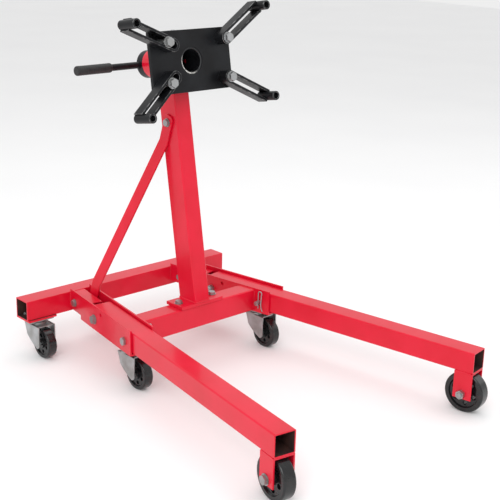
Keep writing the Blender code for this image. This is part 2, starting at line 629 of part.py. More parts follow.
plate_top = CASTER_HEIGHT - GAP
plate_low = plate_top - CASTER_PLATE
race_low = plate_low - CASTER_RACE
crown_top = race_low - GAP
crown_low = crown_top - CASTER_CROWN
cheek = CASTER_WIDTH / 2 + CASTER_PLATE
sideways = Matrix.Rotation(math.pi / 2, 4, "Z") @ Matrix.Rotation(math.pi / 2, 4, "X")
cheek_shape = [(CASTER_NOSE, crown_top - 0.004), (-CASTER_NOSE - CASTER_PLATE, crown_top - 0.004)]
cheek_shape += arc((-CASTER_TRAIL, CASTER_RADIUS), CASTER_EAR, math.radians(170), math.radians(320), 6)
for name, place in CASTERS.items():
    plate_mid = (0, 0, (plate_top + plate_low) / 2)
    half_x, half_y = CASTER_BOLT_SPACING[0] / 2, CASTER_BOLT_SPACING[1] / 2
    corners = [(dx * half_x, dy * half_y) for dx in (-1, 1) for dy in (-1, 1)]
    # the plate's four bolts are fused on: through the pad and beam wall with nuts, or through the channel's web
    is_rear = name.startswith("rear")
    work = BEAM_BOTTOM + TUBE_WALL if is_rear else CHANNEL_BOTTOM + FLANGE
    stud_top = work + 2 * CASTER_BOLT_RADIUS if is_rear else work
    hexagon = 1.75 * CASTER_BOLT_RADIUS
    studs = [rod(CASTER_BOLT_RADIUS, (x, y, plate_low - 0.001), (x, y, stud_top), 8) for x, y in corners]
    heads = [rod(hexagon, (x, y, plate_low - 0.0022), (x, y, plate_low + 0.0005), 6) for x, y in corners]
    nuts = [rod(hexagon, (x, y, work + GAP), (x, y, work + 1.5 * CASTER_BOLT_RADIUS), 6) for x, y in corners]
    part("caster_plate_" + name, ZINC, [block((*CASTER_PLATE_SIZE, CASTER_PLATE), plate_mid)],
         add=[[rod(CASTER_RACE_RADIUS, (0, 0, race_low), (0, 0, plate_low + 0.001))],
              [rod(KINGPIN_RADIUS, (0, 0, crown_low - 0.0035), (0, 0, race_low + 0.001), 12)],
              [rod(1.7 * KINGPIN_RADIUS, (0, 0, crown_low - 0.0038), (0, 0, crown_low - GAP), 12)],
              heads, studs] + ([nuts] if is_rear else []), parent=stand, place=place)

    upright = Matrix.Translation(place.translation)
    swivel = pivot("caster_origin_" + name, upright, stand)
    cheek_mid = cheek + CASTER_PLATE / 2
    cheeks = [outline(cheek_shape, CASTER_PLATE, Matrix.Translation((s * cheek_mid, 0, 0)) @ sideways)
              for s in (-1, 1)]
    axle_hole = rod(CASTER_AXLE_RADIUS + FIT, (-HOLE_HALF, -CASTER_TRAIL, CASTER_RADIUS),
                    (HOLE_HALF, -CASTER_TRAIL, CASTER_RADIUS), 12)
    part("caster_fork_" + name, ZINC,
         [block((2 * (cheek + CASTER_PLATE), 2 * CASTER_NOSE + CASTER_PLATE, CASTER_PLATE),
                (0, -CASTER_PLATE / 2, crown_low + CASTER_PLATE / 2))],
         add=[cheeks, [rod(CASTER_CROWN_RADIUS, (0, 0, crown_low + 0.001), (0, 0, crown_top))]],
         cut=[[rod(KINGPIN_RADIUS + FIT, (0, 0, crown_low - OVERCUT), (0, 0, crown_top + OVERCUT), 12)],
              [axle_hole]],
         parent=swivel, place=upright)
    seat = cheek + CASTER_PLATE + GAP
    bolt("caster_axle_" + name, (-seat, -CASTER_TRAIL, CASTER_RADIUS), (1, 0, 0), CASTER_AXLE_RADIUS, 2 * seat,
         washer=False, parent=swivel, place=upright)
    roll_place = upright @ Matrix.Translation((0, -CASTER_TRAIL, CASTER_RADIUS))
    roll = pivot("caster_wheel_origin_" + name, roll_place, swivel)
    section = wheel_section(CASTER_RADIUS, CASTER_WIDTH, CASTER_AXLE_RADIUS + 2 * FIT)
    turned("caster_wheel_" + name, RUBBER, section, 20, cut=[web_holes(CASTER_RADIUS, CASTER_WIDTH, 6)],
           parent=roll, place=roll_place)

# ---- Turning head -------------------------------------------------------------------------------------------
# head frame: +Y points to the rear along the head's axis, +Z up along the post
plate_front = -PLATE_FRONT
plate_back = plate_front + PLATE_THICK
tube_front = plate_back + HEAD_PLAY
tube_rear = tube_front + HEAD_TUBE_LENGTH
collar_front = tube_rear + GAP
collar_rear = collar_front + COLLAR_LENGTH
pin_y = plate_front + INDEX_PIN_BACK
boss_top = HEAD_TUBE_RADIUS + INDEX_BOSS_HEIGHT
part("head_tube", RED, [rod(HEAD_TUBE_RADIUS, (0, tube_front, 0), (0, tube_rear, 0), 32)],
     add=[[rod(INDEX_BOSS_RADIUS, (0, pin_y, HEAD_TUBE_RADIUS - HEAD_TUBE_WALL / 2), (0, pin_y, boss_top))]],
     cut=[[rod(SPINDLE_RADIUS + HEAD_CLEARANCE, (0, tube_front - OVERCUT, 0), (0, tube_rear + OVERCUT, 0), 32)],
          [rod(INDEX_PIN_RADIUS + FIT, (0, pin_y, 0), (0, pin_y, boss_top + OVERCUT), 12)]],
     parent=stand, place=head_frame)

turn = pivot("head_origin", head_frame, stand)
arm_holes = [rod(ARM_BOLT_RADIUS + FIT, (x * ARM_BOLT_X, plate_front - OVERCUT, z * ARM_BOLT_Z),
                 (x * ARM_BOLT_X, plate_back + OVERCUT, z * ARM_BOLT_Z)) for x in (-1, 1) for z in (-1, 1)]
plate_bore = rod(SPINDLE_RADIUS + GAP, (0, plate_front - OVERCUT, 0), (0, plate_back + OVERCUT, 0), 32)
plate_mid = (0, (plate_front + plate_back) / 2, 0)
part("face_plate", BLACK, [block((PLATE_WIDTH, PLATE_THICK, PLATE_HEIGHT), plate_mid)],
     cut=[arm_holes, [plate_bore]], parent=turn, place=head_frame)
index_bores = []
for i in range(INDEX_HOLES):
    angle = 2 * math.pi * i / INDEX_HOLES + math.pi / 2
    way = Vector((math.cos(angle), 0, math.sin(angle)))
    middle = Vector((0, pin_y, 0))
    index_bores.append(rod(INDEX_PIN_RADIUS + FIT, way * (SPINDLE_RADIUS - 2 * SPINDLE_WALL) + middle,
                           way * (SPINDLE_RADIUS + 2 * SPINDLE_WALL) + middle, 12))
spindle_rear = collar_front + COLLAR_SEAT
spindle_room = rod(SPINDLE_RADIUS - SPINDLE_WALL, (0, plate_front - OVERCUT, 0),
                   (0, spindle_rear + OVERCUT, 0), 32)
part("spindle", BLACK, [rod(SPINDLE_RADIUS, (0, plate_front + SPINDLE_SET_BACK, 0), (0, spindle_rear, 0), 32)],
     cut=[[spindle_room], index_bores], parent=turn, place=head_frame)
handle_y = (spindle_rear + collar_rear) / 2 + GAP
part("rear_collar", BLACK, [rod(COLLAR_RADIUS, (0, collar_front, 0), (0, collar_rear, 0), 32)],
     cut=[[rod(SPINDLE_RADIUS + GAP, (0, collar_front - OVERCUT, 0), (0, spindle_rear + GAP, 0), 32)],
          [rod(HANDLE_RADIUS + FIT, (-2 * COLLAR_RADIUS, handle_y, 0), (2 * COLLAR_RADIUS, handle_y, 0))]],
     parent=turn, place=head_frame)

index_place = head_frame @ Matrix.Translation((0, pin_y, 0))
index = pivot("index_pin_origin", index_place, stand)
pin_tip = SPINDLE_RADIUS + 4 * GAP
pull_z = boss_top + 1.5 * INDEX_BOSS_RADIUS
part("index_pin", ZINC, [rod(INDEX_PIN_RADIUS, (0, 0, pin_tip), (0, 0, pull_z + INDEX_PIN_RADIUS), 12)],
     add=[[rod(INDEX_PULL, (-INDEX_BOSS_HEIGHT, 0, pull_z), (INDEX_BOSS_HEIGHT, 0, pull_z), 10)]],
     parent=index, place=index_place)

slide = pivot("handle_origin", head_frame @ Matrix.Translation((0, handle_y, 0)), turn)
stop_near = COLLAR_RADIUS + HANDLE_STOP_GAP
stop_far = stop_near + HANDLE_STOP
bar_tip = HANDLE_OUT - GRIP_CAP
part("handle_bar", BLACK, [rod(HANDLE_RADIUS, (-bar_tip, handle_y, 0), (stop_far, handle_y, 0))],
     add=[[rod(HANDLE_RADIUS + HANDLE_STOP_EDGE, (stop_near, handle_y, 0), (stop_far + GAP, handle_y, 0))]],
     parent=slide, place=head_frame)
part("handle_grip", RUBBER,
     [rod(GRIP_RADIUS, (-HANDLE_OUT, handle_y, 0), (HANDLE_GRIP - HANDLE_OUT, handle_y, 0))],
     cut=[[rod(HANDLE_RADIUS + FIT, (-bar_tip - GAP, handle_y, 0), (0, handle_y, 0))]],
     parent=slide, place=head_frame)

# ---- Arms: a flat bar bent into a long U on edge, with a sleeve across its open end --------------------------
slot_half = ARM_BOLT_RADIUS + ARM_SLOT_PLAY
slot_end = ARM_LENGTH - SLEEVE_RADIUS - SLOT_END_WALL
slot_cut = 2 * ARM_DEPTH
# an outline's X stays, its Y turns up and its Z points to the front
to_front = Matrix.Rotation(math.pi / 2, 4, "X")
for name, (side, level_sign, angle, slid) in ARMS.items():
    bolt_at = Matrix.Translation((side * ARM_BOLT_X, plate_front - GAP, level_sign * ARM_BOLT_Z))
    hinge_place = head_frame @ bolt_at @ to_front @ Matrix.Rotation(angle, 4, "Z")
    hinge = pivot(name + "_bolt_origin", hinge_place, turn)
    bolt_seat = ARM_DEPTH + GAP
    bolt(name.replace("arm", "arm_bolt"), (0, 0, bolt_seat), (0, 0, -1), ARM_BOLT_RADIUS,
         bolt_seat + 2 * GAP + PLATE_THICK, head=ARM_BOLT_HEAD, parent=hinge, place=hinge_place)
    arm_place = hinge_place @ Matrix.Translation((-slid, 0, 0))
    slider = pivot(name + "_origin", arm_place, hinge)
    half = ARM_WIDTH / 2
    body = arc((0, 0), half, math.pi / 2, 1.5 * math.pi, 10) + [(ARM_LENGTH, -half), (ARM_LENGTH, half)]
    slot = arc((0, 0), slot_half, math.pi / 2, 1.5 * math.pi, 10)
    slot += [(slot_end, -slot_half), (slot_end, slot_half)]
    lift = Matrix.Translation((0, 0, ARM_DEPTH / 2))
    part(name, BLACK, [outline(body, ARM_DEPTH, lift)],
         add=[[rod(SLEEVE_RADIUS, (ARM_LENGTH, 0, 0), (ARM_LENGTH, 0, SLEEVE_LENGTH), 20)]],
         cut=[[outline(slot, slot_cut, lift)],
              [rod(SLEEVE_BORE, (ARM_LENGTH, 0, -OVERCUT), (ARM_LENGTH, 0, SLEEVE_LENGTH + OVERCUT))]],
         parent=slider, place=arm_place)
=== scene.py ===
"""Folding engine stand: the look of its welded red base, its black turning head, its zinc fittings and its wheels.

Every piece is in metres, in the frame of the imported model. The stand faces -Y and its own right is +X.
"""

import json
import math

import bmesh
import bpy
from mathutils import Matrix, Vector

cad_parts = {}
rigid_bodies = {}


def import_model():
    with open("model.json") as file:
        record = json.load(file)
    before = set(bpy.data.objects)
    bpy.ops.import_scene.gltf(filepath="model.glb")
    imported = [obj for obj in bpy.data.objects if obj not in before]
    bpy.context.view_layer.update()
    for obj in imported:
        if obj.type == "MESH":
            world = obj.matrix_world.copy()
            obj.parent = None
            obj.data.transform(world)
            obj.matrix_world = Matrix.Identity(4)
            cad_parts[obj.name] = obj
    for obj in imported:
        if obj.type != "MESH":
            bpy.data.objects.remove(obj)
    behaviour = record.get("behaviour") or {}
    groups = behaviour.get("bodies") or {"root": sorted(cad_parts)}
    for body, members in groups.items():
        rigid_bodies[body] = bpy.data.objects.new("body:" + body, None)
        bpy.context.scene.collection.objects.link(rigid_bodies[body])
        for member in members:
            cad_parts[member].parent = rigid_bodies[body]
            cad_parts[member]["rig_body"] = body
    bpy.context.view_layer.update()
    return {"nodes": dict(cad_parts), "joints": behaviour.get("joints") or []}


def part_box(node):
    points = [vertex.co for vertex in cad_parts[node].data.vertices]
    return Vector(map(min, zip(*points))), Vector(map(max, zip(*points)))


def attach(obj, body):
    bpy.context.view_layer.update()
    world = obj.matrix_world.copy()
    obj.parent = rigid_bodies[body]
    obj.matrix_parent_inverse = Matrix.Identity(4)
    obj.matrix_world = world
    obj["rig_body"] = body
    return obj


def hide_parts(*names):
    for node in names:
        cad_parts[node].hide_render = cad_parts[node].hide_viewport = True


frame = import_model()

# ---- Studio -------------------------------------------------------------------------------------------------
# A pale seamless floor, a white room and three soft boxes. The camera stands to the stand's front left, a
# little above the turning head, and looks down over the legs.
EYE = Vector((-1.5761, -1.7224, 1.0824))
LOOK_ROUND = math.radians(-42.85)
LOOK_DOWN = math.radians(17.87)
TILT = math.radians(1.48)
SENSOR = 36
LENS = 77.54
eye_data = bpy.data.cameras.new("eye")
eye_data.sensor_width = SENSOR
eye_data.lens = LENS
eye = bpy.data.objects.new("eye", eye_data)
eye.matrix_world = Matrix.Translation(EYE) @ Matrix.Rotation(LOOK_ROUND, 4, "Z") @ \
    Matrix.Rotation(math.pi / 2 - LOOK_DOWN, 4, "X") @ Matrix.Rotation(TILT, 4, "Z")
bpy.context.scene.collection.objects.link(eye)
bpy.context.scene.camera = eye

ROOM_WHITE = (1.0, 1.0, 1.0, 1)
ROOM_STRENGTH = 0.86
room = bpy.data.worlds.new("room")
room.use_nodes = True
room.node_tree.nodes["Background"].inputs["Color"].default_value = ROOM_WHITE
room.node_tree.nodes["Background"].inputs["Strength"].default_value = ROOM_STRENGTH
bpy.context.scene.world = room
bpy.context.scene.view_settings.view_transform = "Standard"


def soft_box(name, place, target, size, watts):
    """A square area light that looks at a point."""
    data = bpy.data.lights.new(name, "AREA")
    data.size = size
    data.energy = watts
    lamp = bpy.data.objects.new(name, data)
    away = (Vector(target) - Vector(place)).to_track_quat("-Z", "Y")
    lamp.matrix_world = Matrix.Translation(place) @ away.to_matrix().to_4x4()
    bpy.context.scene.collection.objects.link(lamp)


LIT_POINT = (0, 0, 0.3)
soft_box("key_light", (-2.4, -2.0, 2.6), LIT_POINT, 2.2, 60)
soft_box("top_light", (0.4, 0.6, 3.2), LIT_POINT, 2.6, 22)
soft_box("side_light", (2.8, -1.2, 1.8), LIT_POINT, 1.8, 8)


# ---- Shader nodes -------------------------------------------------------------------------------------------
# The floor is the first surface, so the small class that all the finishes are written with starts here.
class Wire:
    """One shader socket. Arithmetic on it adds Math nodes; node() adds any other node."""

    def __init__(self, tree, socket):
        self.tree = tree
        self.socket = socket

    def node(self, kind, output, settings=None, **inputs):
        """A node of this kind: settings first, then the values or links of its sockets, by name."""
        made = self.tree.nodes.new(kind)
        for key, value in (settings or {}).items():
            setattr(made, key, value)
        for key, value in inputs.items():
            names = [s.name for s in made.inputs]
            at = int(key[1:]) if key[0] == "i" and key[1:].isdigit() else names.index(key.replace("_", " "))
            if isinstance(value, Wire):
                self.tree.links.new(value.socket, made.inputs[at])
            else:
                made.inputs[at].default_value = value
        return Wire(self.tree, made.outputs[output])

    def maths(self, operation, *values):
        settings = {"operation": operation, "use_clamp": False}
        return self.node("ShaderNodeMath", 0, settings, **{f"i{i}": v for i, v in enumerate(values)})

    def __add__(self, other):
        return self.maths("ADD", self, other)

    def __radd__(self, other):
        return self.maths("ADD", other, self)

    def __sub__(self, other):
        return self.maths("SUBTRACT", self, other)

    def __rsub__(self, other):
        return self.maths("SUBTRACT", other, self)

    def __mul__(self, other):
        return self.maths("MULTIPLY", self, other)

    def __rmul__(self, other):
        return self.maths("MULTIPLY", other, self)

    def between(self, low, high):
        """0 below low, 1 above high, and a straight line from one to the other."""
        return self.node("ShaderNodeMapRange", 0, {"clamp": True}, Value=self, From_Min=low, From_Max=high)

    def speckle(self, scale, detail=2.0, rough=0.5):
        """Noise from 0 to 1 on this wire's coordinates."""
        return self.node("ShaderNodeTexNoise", 0, None, Vector=self, Scale=scale, Detail=detail, Roughness=rough)

    def blend_to(self, low, high):
        """A colour that goes from low to high as this wire goes from 0 to 1."""
        settings = {"data_type": "RGBA"}
        return self.node("ShaderNodeMix", 2, settings, i0=self, i6=low, i7=high)

    def raised(self, distance, strength=1.0):
        """The normal of a surface that this wire lifts by a distance."""
        return self.node("ShaderNodeBump", 0, None, Height=self, Distance=distance, Strength=strength)


def new_finish(name):
    """A material with its Principled shader, and its Object coordinates as a wire."""
    made = bpy.data.materials.new(name)
    made.use_nodes = True
    tree = made.node_tree
    coordinates = tree.nodes.new("ShaderNodeTexCoord")
    return made, tree.nodes["Principled BSDF"], Wire(tree, coordinates.outputs["Object"])


def feed(shader, name, value):
    """Links a wire to a shader's socket, or sets a constant on it."""
    if isinstance(value, Wire):
        value.tree.links.new(value.socket, shader.inputs[name])
    else:
        shader.inputs[name].default_value = value


FLOOR_HALF = 9.0
FLOOR_WHITE = (0.93, 0.93, 0.93, 1)
FLOOR_SHADE = (0.88, 0.88, 0.885, 1)
floor_finish, floor_shader, floor_at = new_finish("pale_floor")
feed(floor_shader, "Base Color", floor_at.speckle(1.5).blend_to(FLOOR_SHADE, FLOOR_WHITE))
feed(floor_shader, "Roughness", 0.75)
bpy.ops.object.select_all(action="DESELECT")
bpy.ops.mesh.primitive_plane_add(size=2 * FLOOR_HALF, location=(0, 0, 0))
studio_floor = bpy.context.object
studio_floor.name = "studio_floor"
studio_floor.data.materials.append(floor_finish)

# ---- Rear beam ----------------------------------------------------------------------------------------------
# The back of the base: one square tube with rounded corners and open ends, and a flat pad welded under each end
# for a caster. Mild steel, glossy red powder coat over all of it.
RED_DEEP = (0.640, 0.002, 0.020, 1)
RED_FULL = (0.720, 0.004, 0.030, 1)
RED_CHIP = (0.180, 0.012, 0.014, 1)


def red_powder_coat():
    """Powder coat: even red with a faint mottle, orange peel in the gloss, dust in hollows and a few rubs."""
    made, shader, at = new_finish("red_powder_coat")
    mottle = at.speckle(9.0, 3.0).between(0.35, 0.65)
    peel = at.speckle(420.0, 1.0)
    dust = at.speckle(38.0, 6.0, 0.65).between(0.52, 0.78)
    rub = at.speckle(95.0, 8.0, 0.75).between(0.77, 0.79)
    colour = mottle.blend_to(RED_DEEP, RED_FULL)
    feed(shader, "Base Color", rub.blend_to(colour, RED_CHIP))
    feed(shader, "Roughness", 0.30 + 0.06 * dust + 0.03 * mottle + 0.25 * rub)
    feed(shader, "Normal", peel.raised(0.00005, 0.25))
    feed(shader, "Coat Weight", 0.22 - 0.10 * dust)
    feed(shader, "Specular IOR Level", 0.30)
    feed(shader, "Coat Roughness", 0.10)
    return made


red_coat = red_powder_coat()

EDGE = 0.0006
TUBE_CORNER = 0.0035


def start_edit(piece):
    """Makes a piece the only one selected and opens it in edit mode with nothing picked."""
    bpy.ops.object.select_all(action="DESELECT")
    piece.select_set(True)
    bpy.context.view_layer.objects.active = piece
    bpy.ops.object.mode_set(mode="EDIT")
    bpy.ops.mesh.select_all(action="DESELECT")


def pick(piece, wanted, kind="EDGE"):
    """In edit mode, picks the edges or faces for which wanted(edge or face) is true."""
    bpy.ops.mesh.select_mode(type=kind)
    work = bmesh.from_edit_mesh(piece.data)
    found = work.edges if kind == "EDGE" else work.faces
    for item in found:
        item.select_set(bool(wanted(item)))
    work.select_flush_mode()
    bmesh.update_edit_mesh(piece.data)


def finish_mesh(piece, edge=EDGE, segments=2, edge_finish=-1):
    """Closes edit mode, rounds the sharp edges that are left, in a finish of their own if asked, and smooths."""
    if bpy.context.mode != "OBJECT":
        bpy.ops.object.mode_set(mode="OBJECT")
    bpy.ops.object.select_all(action="DESELECT")
    piece.select_set(True)
    bpy.context.view_layer.objects.active = piece
    if edge:
        rounded = piece.modifiers.new("edge", "BEVEL")
        rounded.width = edge
        rounded.segments = segments
        rounded.limit_method = "ANGLE"
        rounded.angle_limit = math.radians(35)
        rounded.material = edge_finish
        bpy.ops.object.modifier_apply(modifier="edge")
    bpy.ops.object.shade_smooth()
    even = piece.modifiers.new("even", "WEIGHTED_NORMAL")
    even.keep_sharp = True
    bpy.ops.object.modifier_apply(modifier="even")
    return piece


def dress(node, finish, slot, edge=EDGE, long_edges=0.0, corner=TUBE_CORNER):
    """A frame part's own shape, welded up from its loose triangles: long outer edges get the tube's corner
    radius, every other edge a small one. It stands for the part and rides on its body."""
    source = frame["nodes"][node]
    piece = bpy.data.objects.new(node + "_coated", source.data.copy())
    piece.data.materials.clear()
    bpy.context.scene.collection.objects.link(piece)
    start_edit(piece)
    bpy.ops.mesh.select_all(action="SELECT")
    bpy.ops.mesh.remove_doubles(threshold=0.00001)
    bpy.ops.mesh.dissolve_limited(angle_limit=math.radians(0.5))
    if long_edges:
        pick(piece, lambda e: len(e.link_faces) == 2 and e.calc_length() > long_edges
             and e.is_convex and e.calc_face_angle() > 1)
        bpy.ops.mesh.bevel(offset=corner, segments=4, affect="EDGES", clamp_overlap=True)
    finish_mesh(piece, edge)
    piece.data.materials.append(finish)
    return settle(piece, source["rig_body"], slot, node)


def settle(piece, body, slot, *nodes):
    """Says what a piece rides on and which frame parts it stands for; its slot is not used."""
    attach(piece, body)
    if nodes:
        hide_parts(*nodes)
    return piece


def middle_of(node):
    """The middle of a frame part's box."""
    low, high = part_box(node)
    return (low + high) / 2


def line_inside(piece, centre, along):
    """Gives a tube's inner faces, those that look towards its middle line, a bare-steel finish darkened as painted
    shade.
    """
    piece.data.materials.append(bare_bore_and_shade)
    way = Vector(along).normalized()
    for face in piece.data.polygons:
        out = face.center - Vector(centre)
        out -= way * out.dot(way)
        if face.normal.dot(out) < -0.001 and abs(face.normal.dot(way)) < 0.7:
            face.material_index = 1


# Inside the open tubes: bare steel with rust mottle, its colour kept near black as painted shade for the shadowed
# inside of a tube.
BORE_DARK = (0.022, 0.008, 0.007, 1)
BORE_RUST = (0.060, 0.018, 0.011, 1)
bare_bore_and_shade, bore_shader, bore_at = new_finish("bare_bore_and_shade")
feed(bore_shader, "Base Color", bore_at.speckle(45.0, 6.0).between(0.42, 0.68).blend_to(BORE_DARK, BORE_RUST))
feed(bore_shader, "Roughness", 0.70 + 0.20 * bore_at.speckle(90.0, 3.0))
beam = dress("rear_beam", red_coat, "red_paint", long_edges=0.3)
line_inside(beam, middle_of("rear_beam"), (1, 0, 0))

# ---- Weld beads ---------------------------------------------------------------------------------------------
# Short fillets of weld metal where the base's pieces meet, each a row of overlapping ripples under the paint.
RIPPLE = 0.0024
BEAD_SIDES = 10


def place_mesh(piece, place):
    """Moves a mesh to its place and leaves its object at the origin."""
    piece.data.transform(piece.matrix_world)
    piece.matrix_world = Matrix()
    piece.data.transform(place)


def bead(name, start, end, radius, finish, body, slot):
    """A straight weld bead between two points, rippled along its length, with tapered ends."""
    low, high = Vector(start), Vector(end)
    way = high - low
    bpy.ops.object.select_all(action="DESELECT")
    bpy.ops.mesh.primitive_cylinder_add(vertices=BEAD_SIDES, radius=radius, depth=way.length)
    piece = bpy.context.object
    piece.name = name
    start_edit(piece)
    pick(piece, lambda e: abs((e.verts[0].co - e.verts[1].co).z) > way.length / 2)
    bpy.ops.mesh.subdivide(number_cuts=max(6, int(3 * way.length / RIPPLE)))
    bpy.ops.object.mode_set(mode="OBJECT")
    half = way.length / 2
    for point in piece.data.vertices:
        lean = point.co.x / radius * RIPPLE * 0.4
        swell = 1 + 0.10 * math.cos(2 * math.pi * (point.co.z + lean) / RIPPLE)
        taper = min(1.0, 0.35 + (half - abs(point.co.z)) / (1.5 * radius))
        point.co.x *= swell * taper
        point.co.y *= swell * taper
    turn = way.to_track_quat("Z", "X").to_matrix().to_4x4()
    place_mesh(piece, Matrix.Translation((low + high) / 2) @ turn)
    piece.data.materials.append(finish)
    finish_mesh(piece, 0)
    return settle(piece, body, slot)


def ring_bead(name, place, ring, radius, finish, body, slot):
    """A weld bead round a circle in place's own XY plane."""
    turns = int(2 * math.pi * ring / RIPPLE)
    bpy.ops.object.select_all(action="DESELECT")
    bpy.ops.mesh.primitive_torus_add(major_radius=ring, minor_radius=radius, major_segments=3 * turns,
                                     minor_segments=BEAD_SIDES)
    piece = bpy.context.object
    piece.name = name
    for point in piece.data.vertices:
        angle = math.atan2(point.co.y, point.co.x)
        middle = Vector((math.cos(angle), math.sin(angle), 0)) * ring
        swell = 1 + 0.12 * math.cos(turns * angle) + 0.06 * math.sin(5 * angle)
        point.co = middle + (point.co - middle) * swell
    place_mesh(piece, place)
    piece.data.materials.append(finish)
    finish_mesh(piece, 0)
    return settle(piece, body, slot)


joint = {j["name"]: j for j in frame["joints"]}
SIDES = {"left": -1, "right": 1}


def along_leg(side):
    """The leg's own frame at its pivot: X straight across, -Y along the leg to its front end."""
    fold = joint["leg_fold_" + side]
    across = -Vector(fold["axis"])
    along = Vector((0, 0, 1)).cross(across)
    turn = Matrix((across, along, Vector((0, 0, 1)))).transposed().to_4x4()
    return Matrix.Translation(fold["pos_m"]) @ turn


def local_box(node, place):
    """Lowest and highest corners of a frame part, in a frame of its own."""
    inward = place.inverted()
    points = [inward @ point.co for point in frame["nodes"][node].data.vertices]
    return (Vector([min(p[i] for p in points) for i in range(3)]),
            Vector([max(p[i] for p in points) for i in range(3)]))


BEAD = 0.0022
BEAM_TUBE = 0.050
WELD_FOOT = 0.016
WELD_HEAD = 0.003
beam_low, beam_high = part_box("rear_beam")
beam_face = beam_low.y + (beam_high.y - beam_low.y - BEAM_TUBE) / 2
for side, sign in SIDES.items():
    leg_place = along_leg(side)
    channel_low, channel_high = local_box("channel_" + side, leg_place)
    for face, x in (("outer", channel_high.x if sign > 0 else channel_low.x),
                    ("inner", channel_low.x if sign > 0 else channel_high.x)):
        foot = leg_place @ Vector((x, 0, 0))
        run = leg_place.to_3x3() @ Vector((0, 1, 0))
        at = foot + run * ((beam_face - foot.y) / run.y)
        start = (at.x, beam_face - BEAD / 2, channel_low.z + leg_place.translation.z + WELD_FOOT)
        end = (at.x, beam_face - BEAD / 2, beam_high.z - WELD_HEAD)
        bead(f"beam_weld_{face}_{side}", start, end, BEAD, red_coat, "base", "red_paint")

# ---- Cross beam ---------------------------------------------------------------------------------------------
# The rung between the two channels, a rectangular tube cut to the legs' splay and welded in at both ends.
CROSS_CORNER = 0.004
CROSS_SINK = 0.001
dress("cross_beam", red_coat, "red_paint", long_edges=0.2)
cross_low, cross_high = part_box("cross_beam")
for side, sign in SIDES.items():
    leg_place = along_leg(side)
    channel_low, channel_high = local_box("channel_" + side, leg_place)
    inner_x = channel_low.x if sign > 0 else channel_high.x
    ends = []
    for y in (cross_low.y + CROSS_CORNER, cross_high.y - CROSS_CORNER):
        foot = leg_place @ Vector((inner_x, 0, 0))
        run = leg_place.to_3x3() @ Vector((0, 1, 0))
        ends.append(foot + run * ((y - foot.y) / run.y))
    for level, z in (("top", cross_high.z - CROSS_SINK), ("front", None)):
        if z is None:
            start = Vector((ends[0].x, cross_low.y + CROSS_SINK, cross_low.z + 0.006))
            end = Vector((ends[0].x, cross_low.y + CROSS_SINK, cross_high.z - 0.005))
        else:
            start, end = Vector((ends[0].x, ends[0].y, z)), Vector((ends[1].x, ends[1].y, z))
        bead(f"cross_weld_{level}_{side}", start, end, BEAD, red_coat, "base", "red_paint")

# ---- Zinc-plated bolts --------------------------------------------------------------------------------------
# Hex bolts with chamfered heads, washers, nuts and the last turns of thread showing, in bright zinc plate.
ZINC_PALE = (0.43, 0.44, 0.45, 1)
ZINC_WARM = (0.27, 0.268, 0.255, 1)
THREAD_PITCH = 0.0015
WASHER = 0.0016
HEAD_TALL = 1.1         # these four are times the bolt's own radius
HEAD_WIDE = 1.75
NUT_TALL = 1.5
NUT_TO_END = 2.2


def bright_zinc():
    """Zinc plate: pale grey, a faint warm bloom, fine rolling marks and small scuffs."""
    made, shader, at = new_finish("bright_zinc")
    bloom = at.speckle(30.0, 4.0).between(0.35, 0.70)
    grain = at.speckle(900.0, 2.0)
    scuff = at.speckle(160.0, 6.0, 0.7).between(0.60, 0.72)
    feed(shader, "Base Color", bloom.blend_to(ZINC_PALE, ZINC_WARM))
    feed(shader, "Metallic", 0.88)
    feed(shader, "Roughness", 0.30 + 0.12 * bloom + 0.20 * scuff)
    feed(shader, "Normal", (grain * 0.6 + scuff * 0.4).raised(0.00005, 0.4))
    return made


zinc = bright_zinc()


def cylinder(radius, low, high, sides=32):
    """A cylinder primitive on Z from low to high, not yet part of any piece."""
    bpy.ops.object.select_all(action="DESELECT")
    bpy.ops.mesh.primitive_cylinder_add(vertices=sides, radius=radius, depth=high - low,
                                        location=(0, 0, (high + low) / 2))
    made = bpy.context.object
    made.data.transform(made.matrix_world)
    made.matrix_world = Matrix()
    return made


def combine(piece, other, operation):
    """One exact Boolean, applied, that uses up the other object."""
    step = piece.modifiers.new("step", "BOOLEAN")
    step.operation = operation
    step.solver = "EXACT"
    step.object = other
    bpy.ops.object.select_all(action="DESELECT")
    piece.select_set(True)
    bpy.context.view_layer.objects.active = piece
    bpy.ops.object.modifier_apply(modifier="step")
    bpy.data.objects.remove(other)
    return piece


def merge(name, *objects):
    """Joins objects into one piece with this name."""
    bpy.ops.object.select_all(action="DESELECT")
    for one in objects:
        one.select_set(True)
    bpy.context.view_layer.objects.active = objects[0]
    bpy.ops.object.join()
    objects[0].name = name
    return objects[0]


def hexagon(radius, low, high, chamfer_low, chamfer_high):
    """A bolt head or nut: a hexagon prism whose corners are turned down where asked."""
    head = cylinder(radius, low, high, 6)
    turned = cylinder(radius * 0.985, low, high, 48)
    start_edit(turned)
    pick(turned, lambda f: (f.normal.z > 0.9 and chamfer_high) or (f.normal.z < -0.9 and chamfer_low), "FACE")
    bpy.ops.mesh.inset(thickness=radius * 0.12, depth=0)
    bpy.ops.mesh.select_all(action="DESELECT")
    pick(turned, lambda e: all(v.co.xy.length > 0.97 * radius for v in e.verts)
         and all((v.co.z > high - 1e-6 and chamfer_high) or (v.co.z < low + 1e-6 and chamfer_low) for v in e.verts))
    middle = (low + high) / 2
    for point in bmesh.from_edit_mesh(turned.data).verts:
        if point.select and point.co.xy.length > 0.95 * radius:
            point.co.z = middle + (point.co.z - middle) * (1 - 0.14 * radius / (high - low))
    bpy.ops.object.mode_set(mode="OBJECT")
    return combine(head, turned, "INTERSECT")


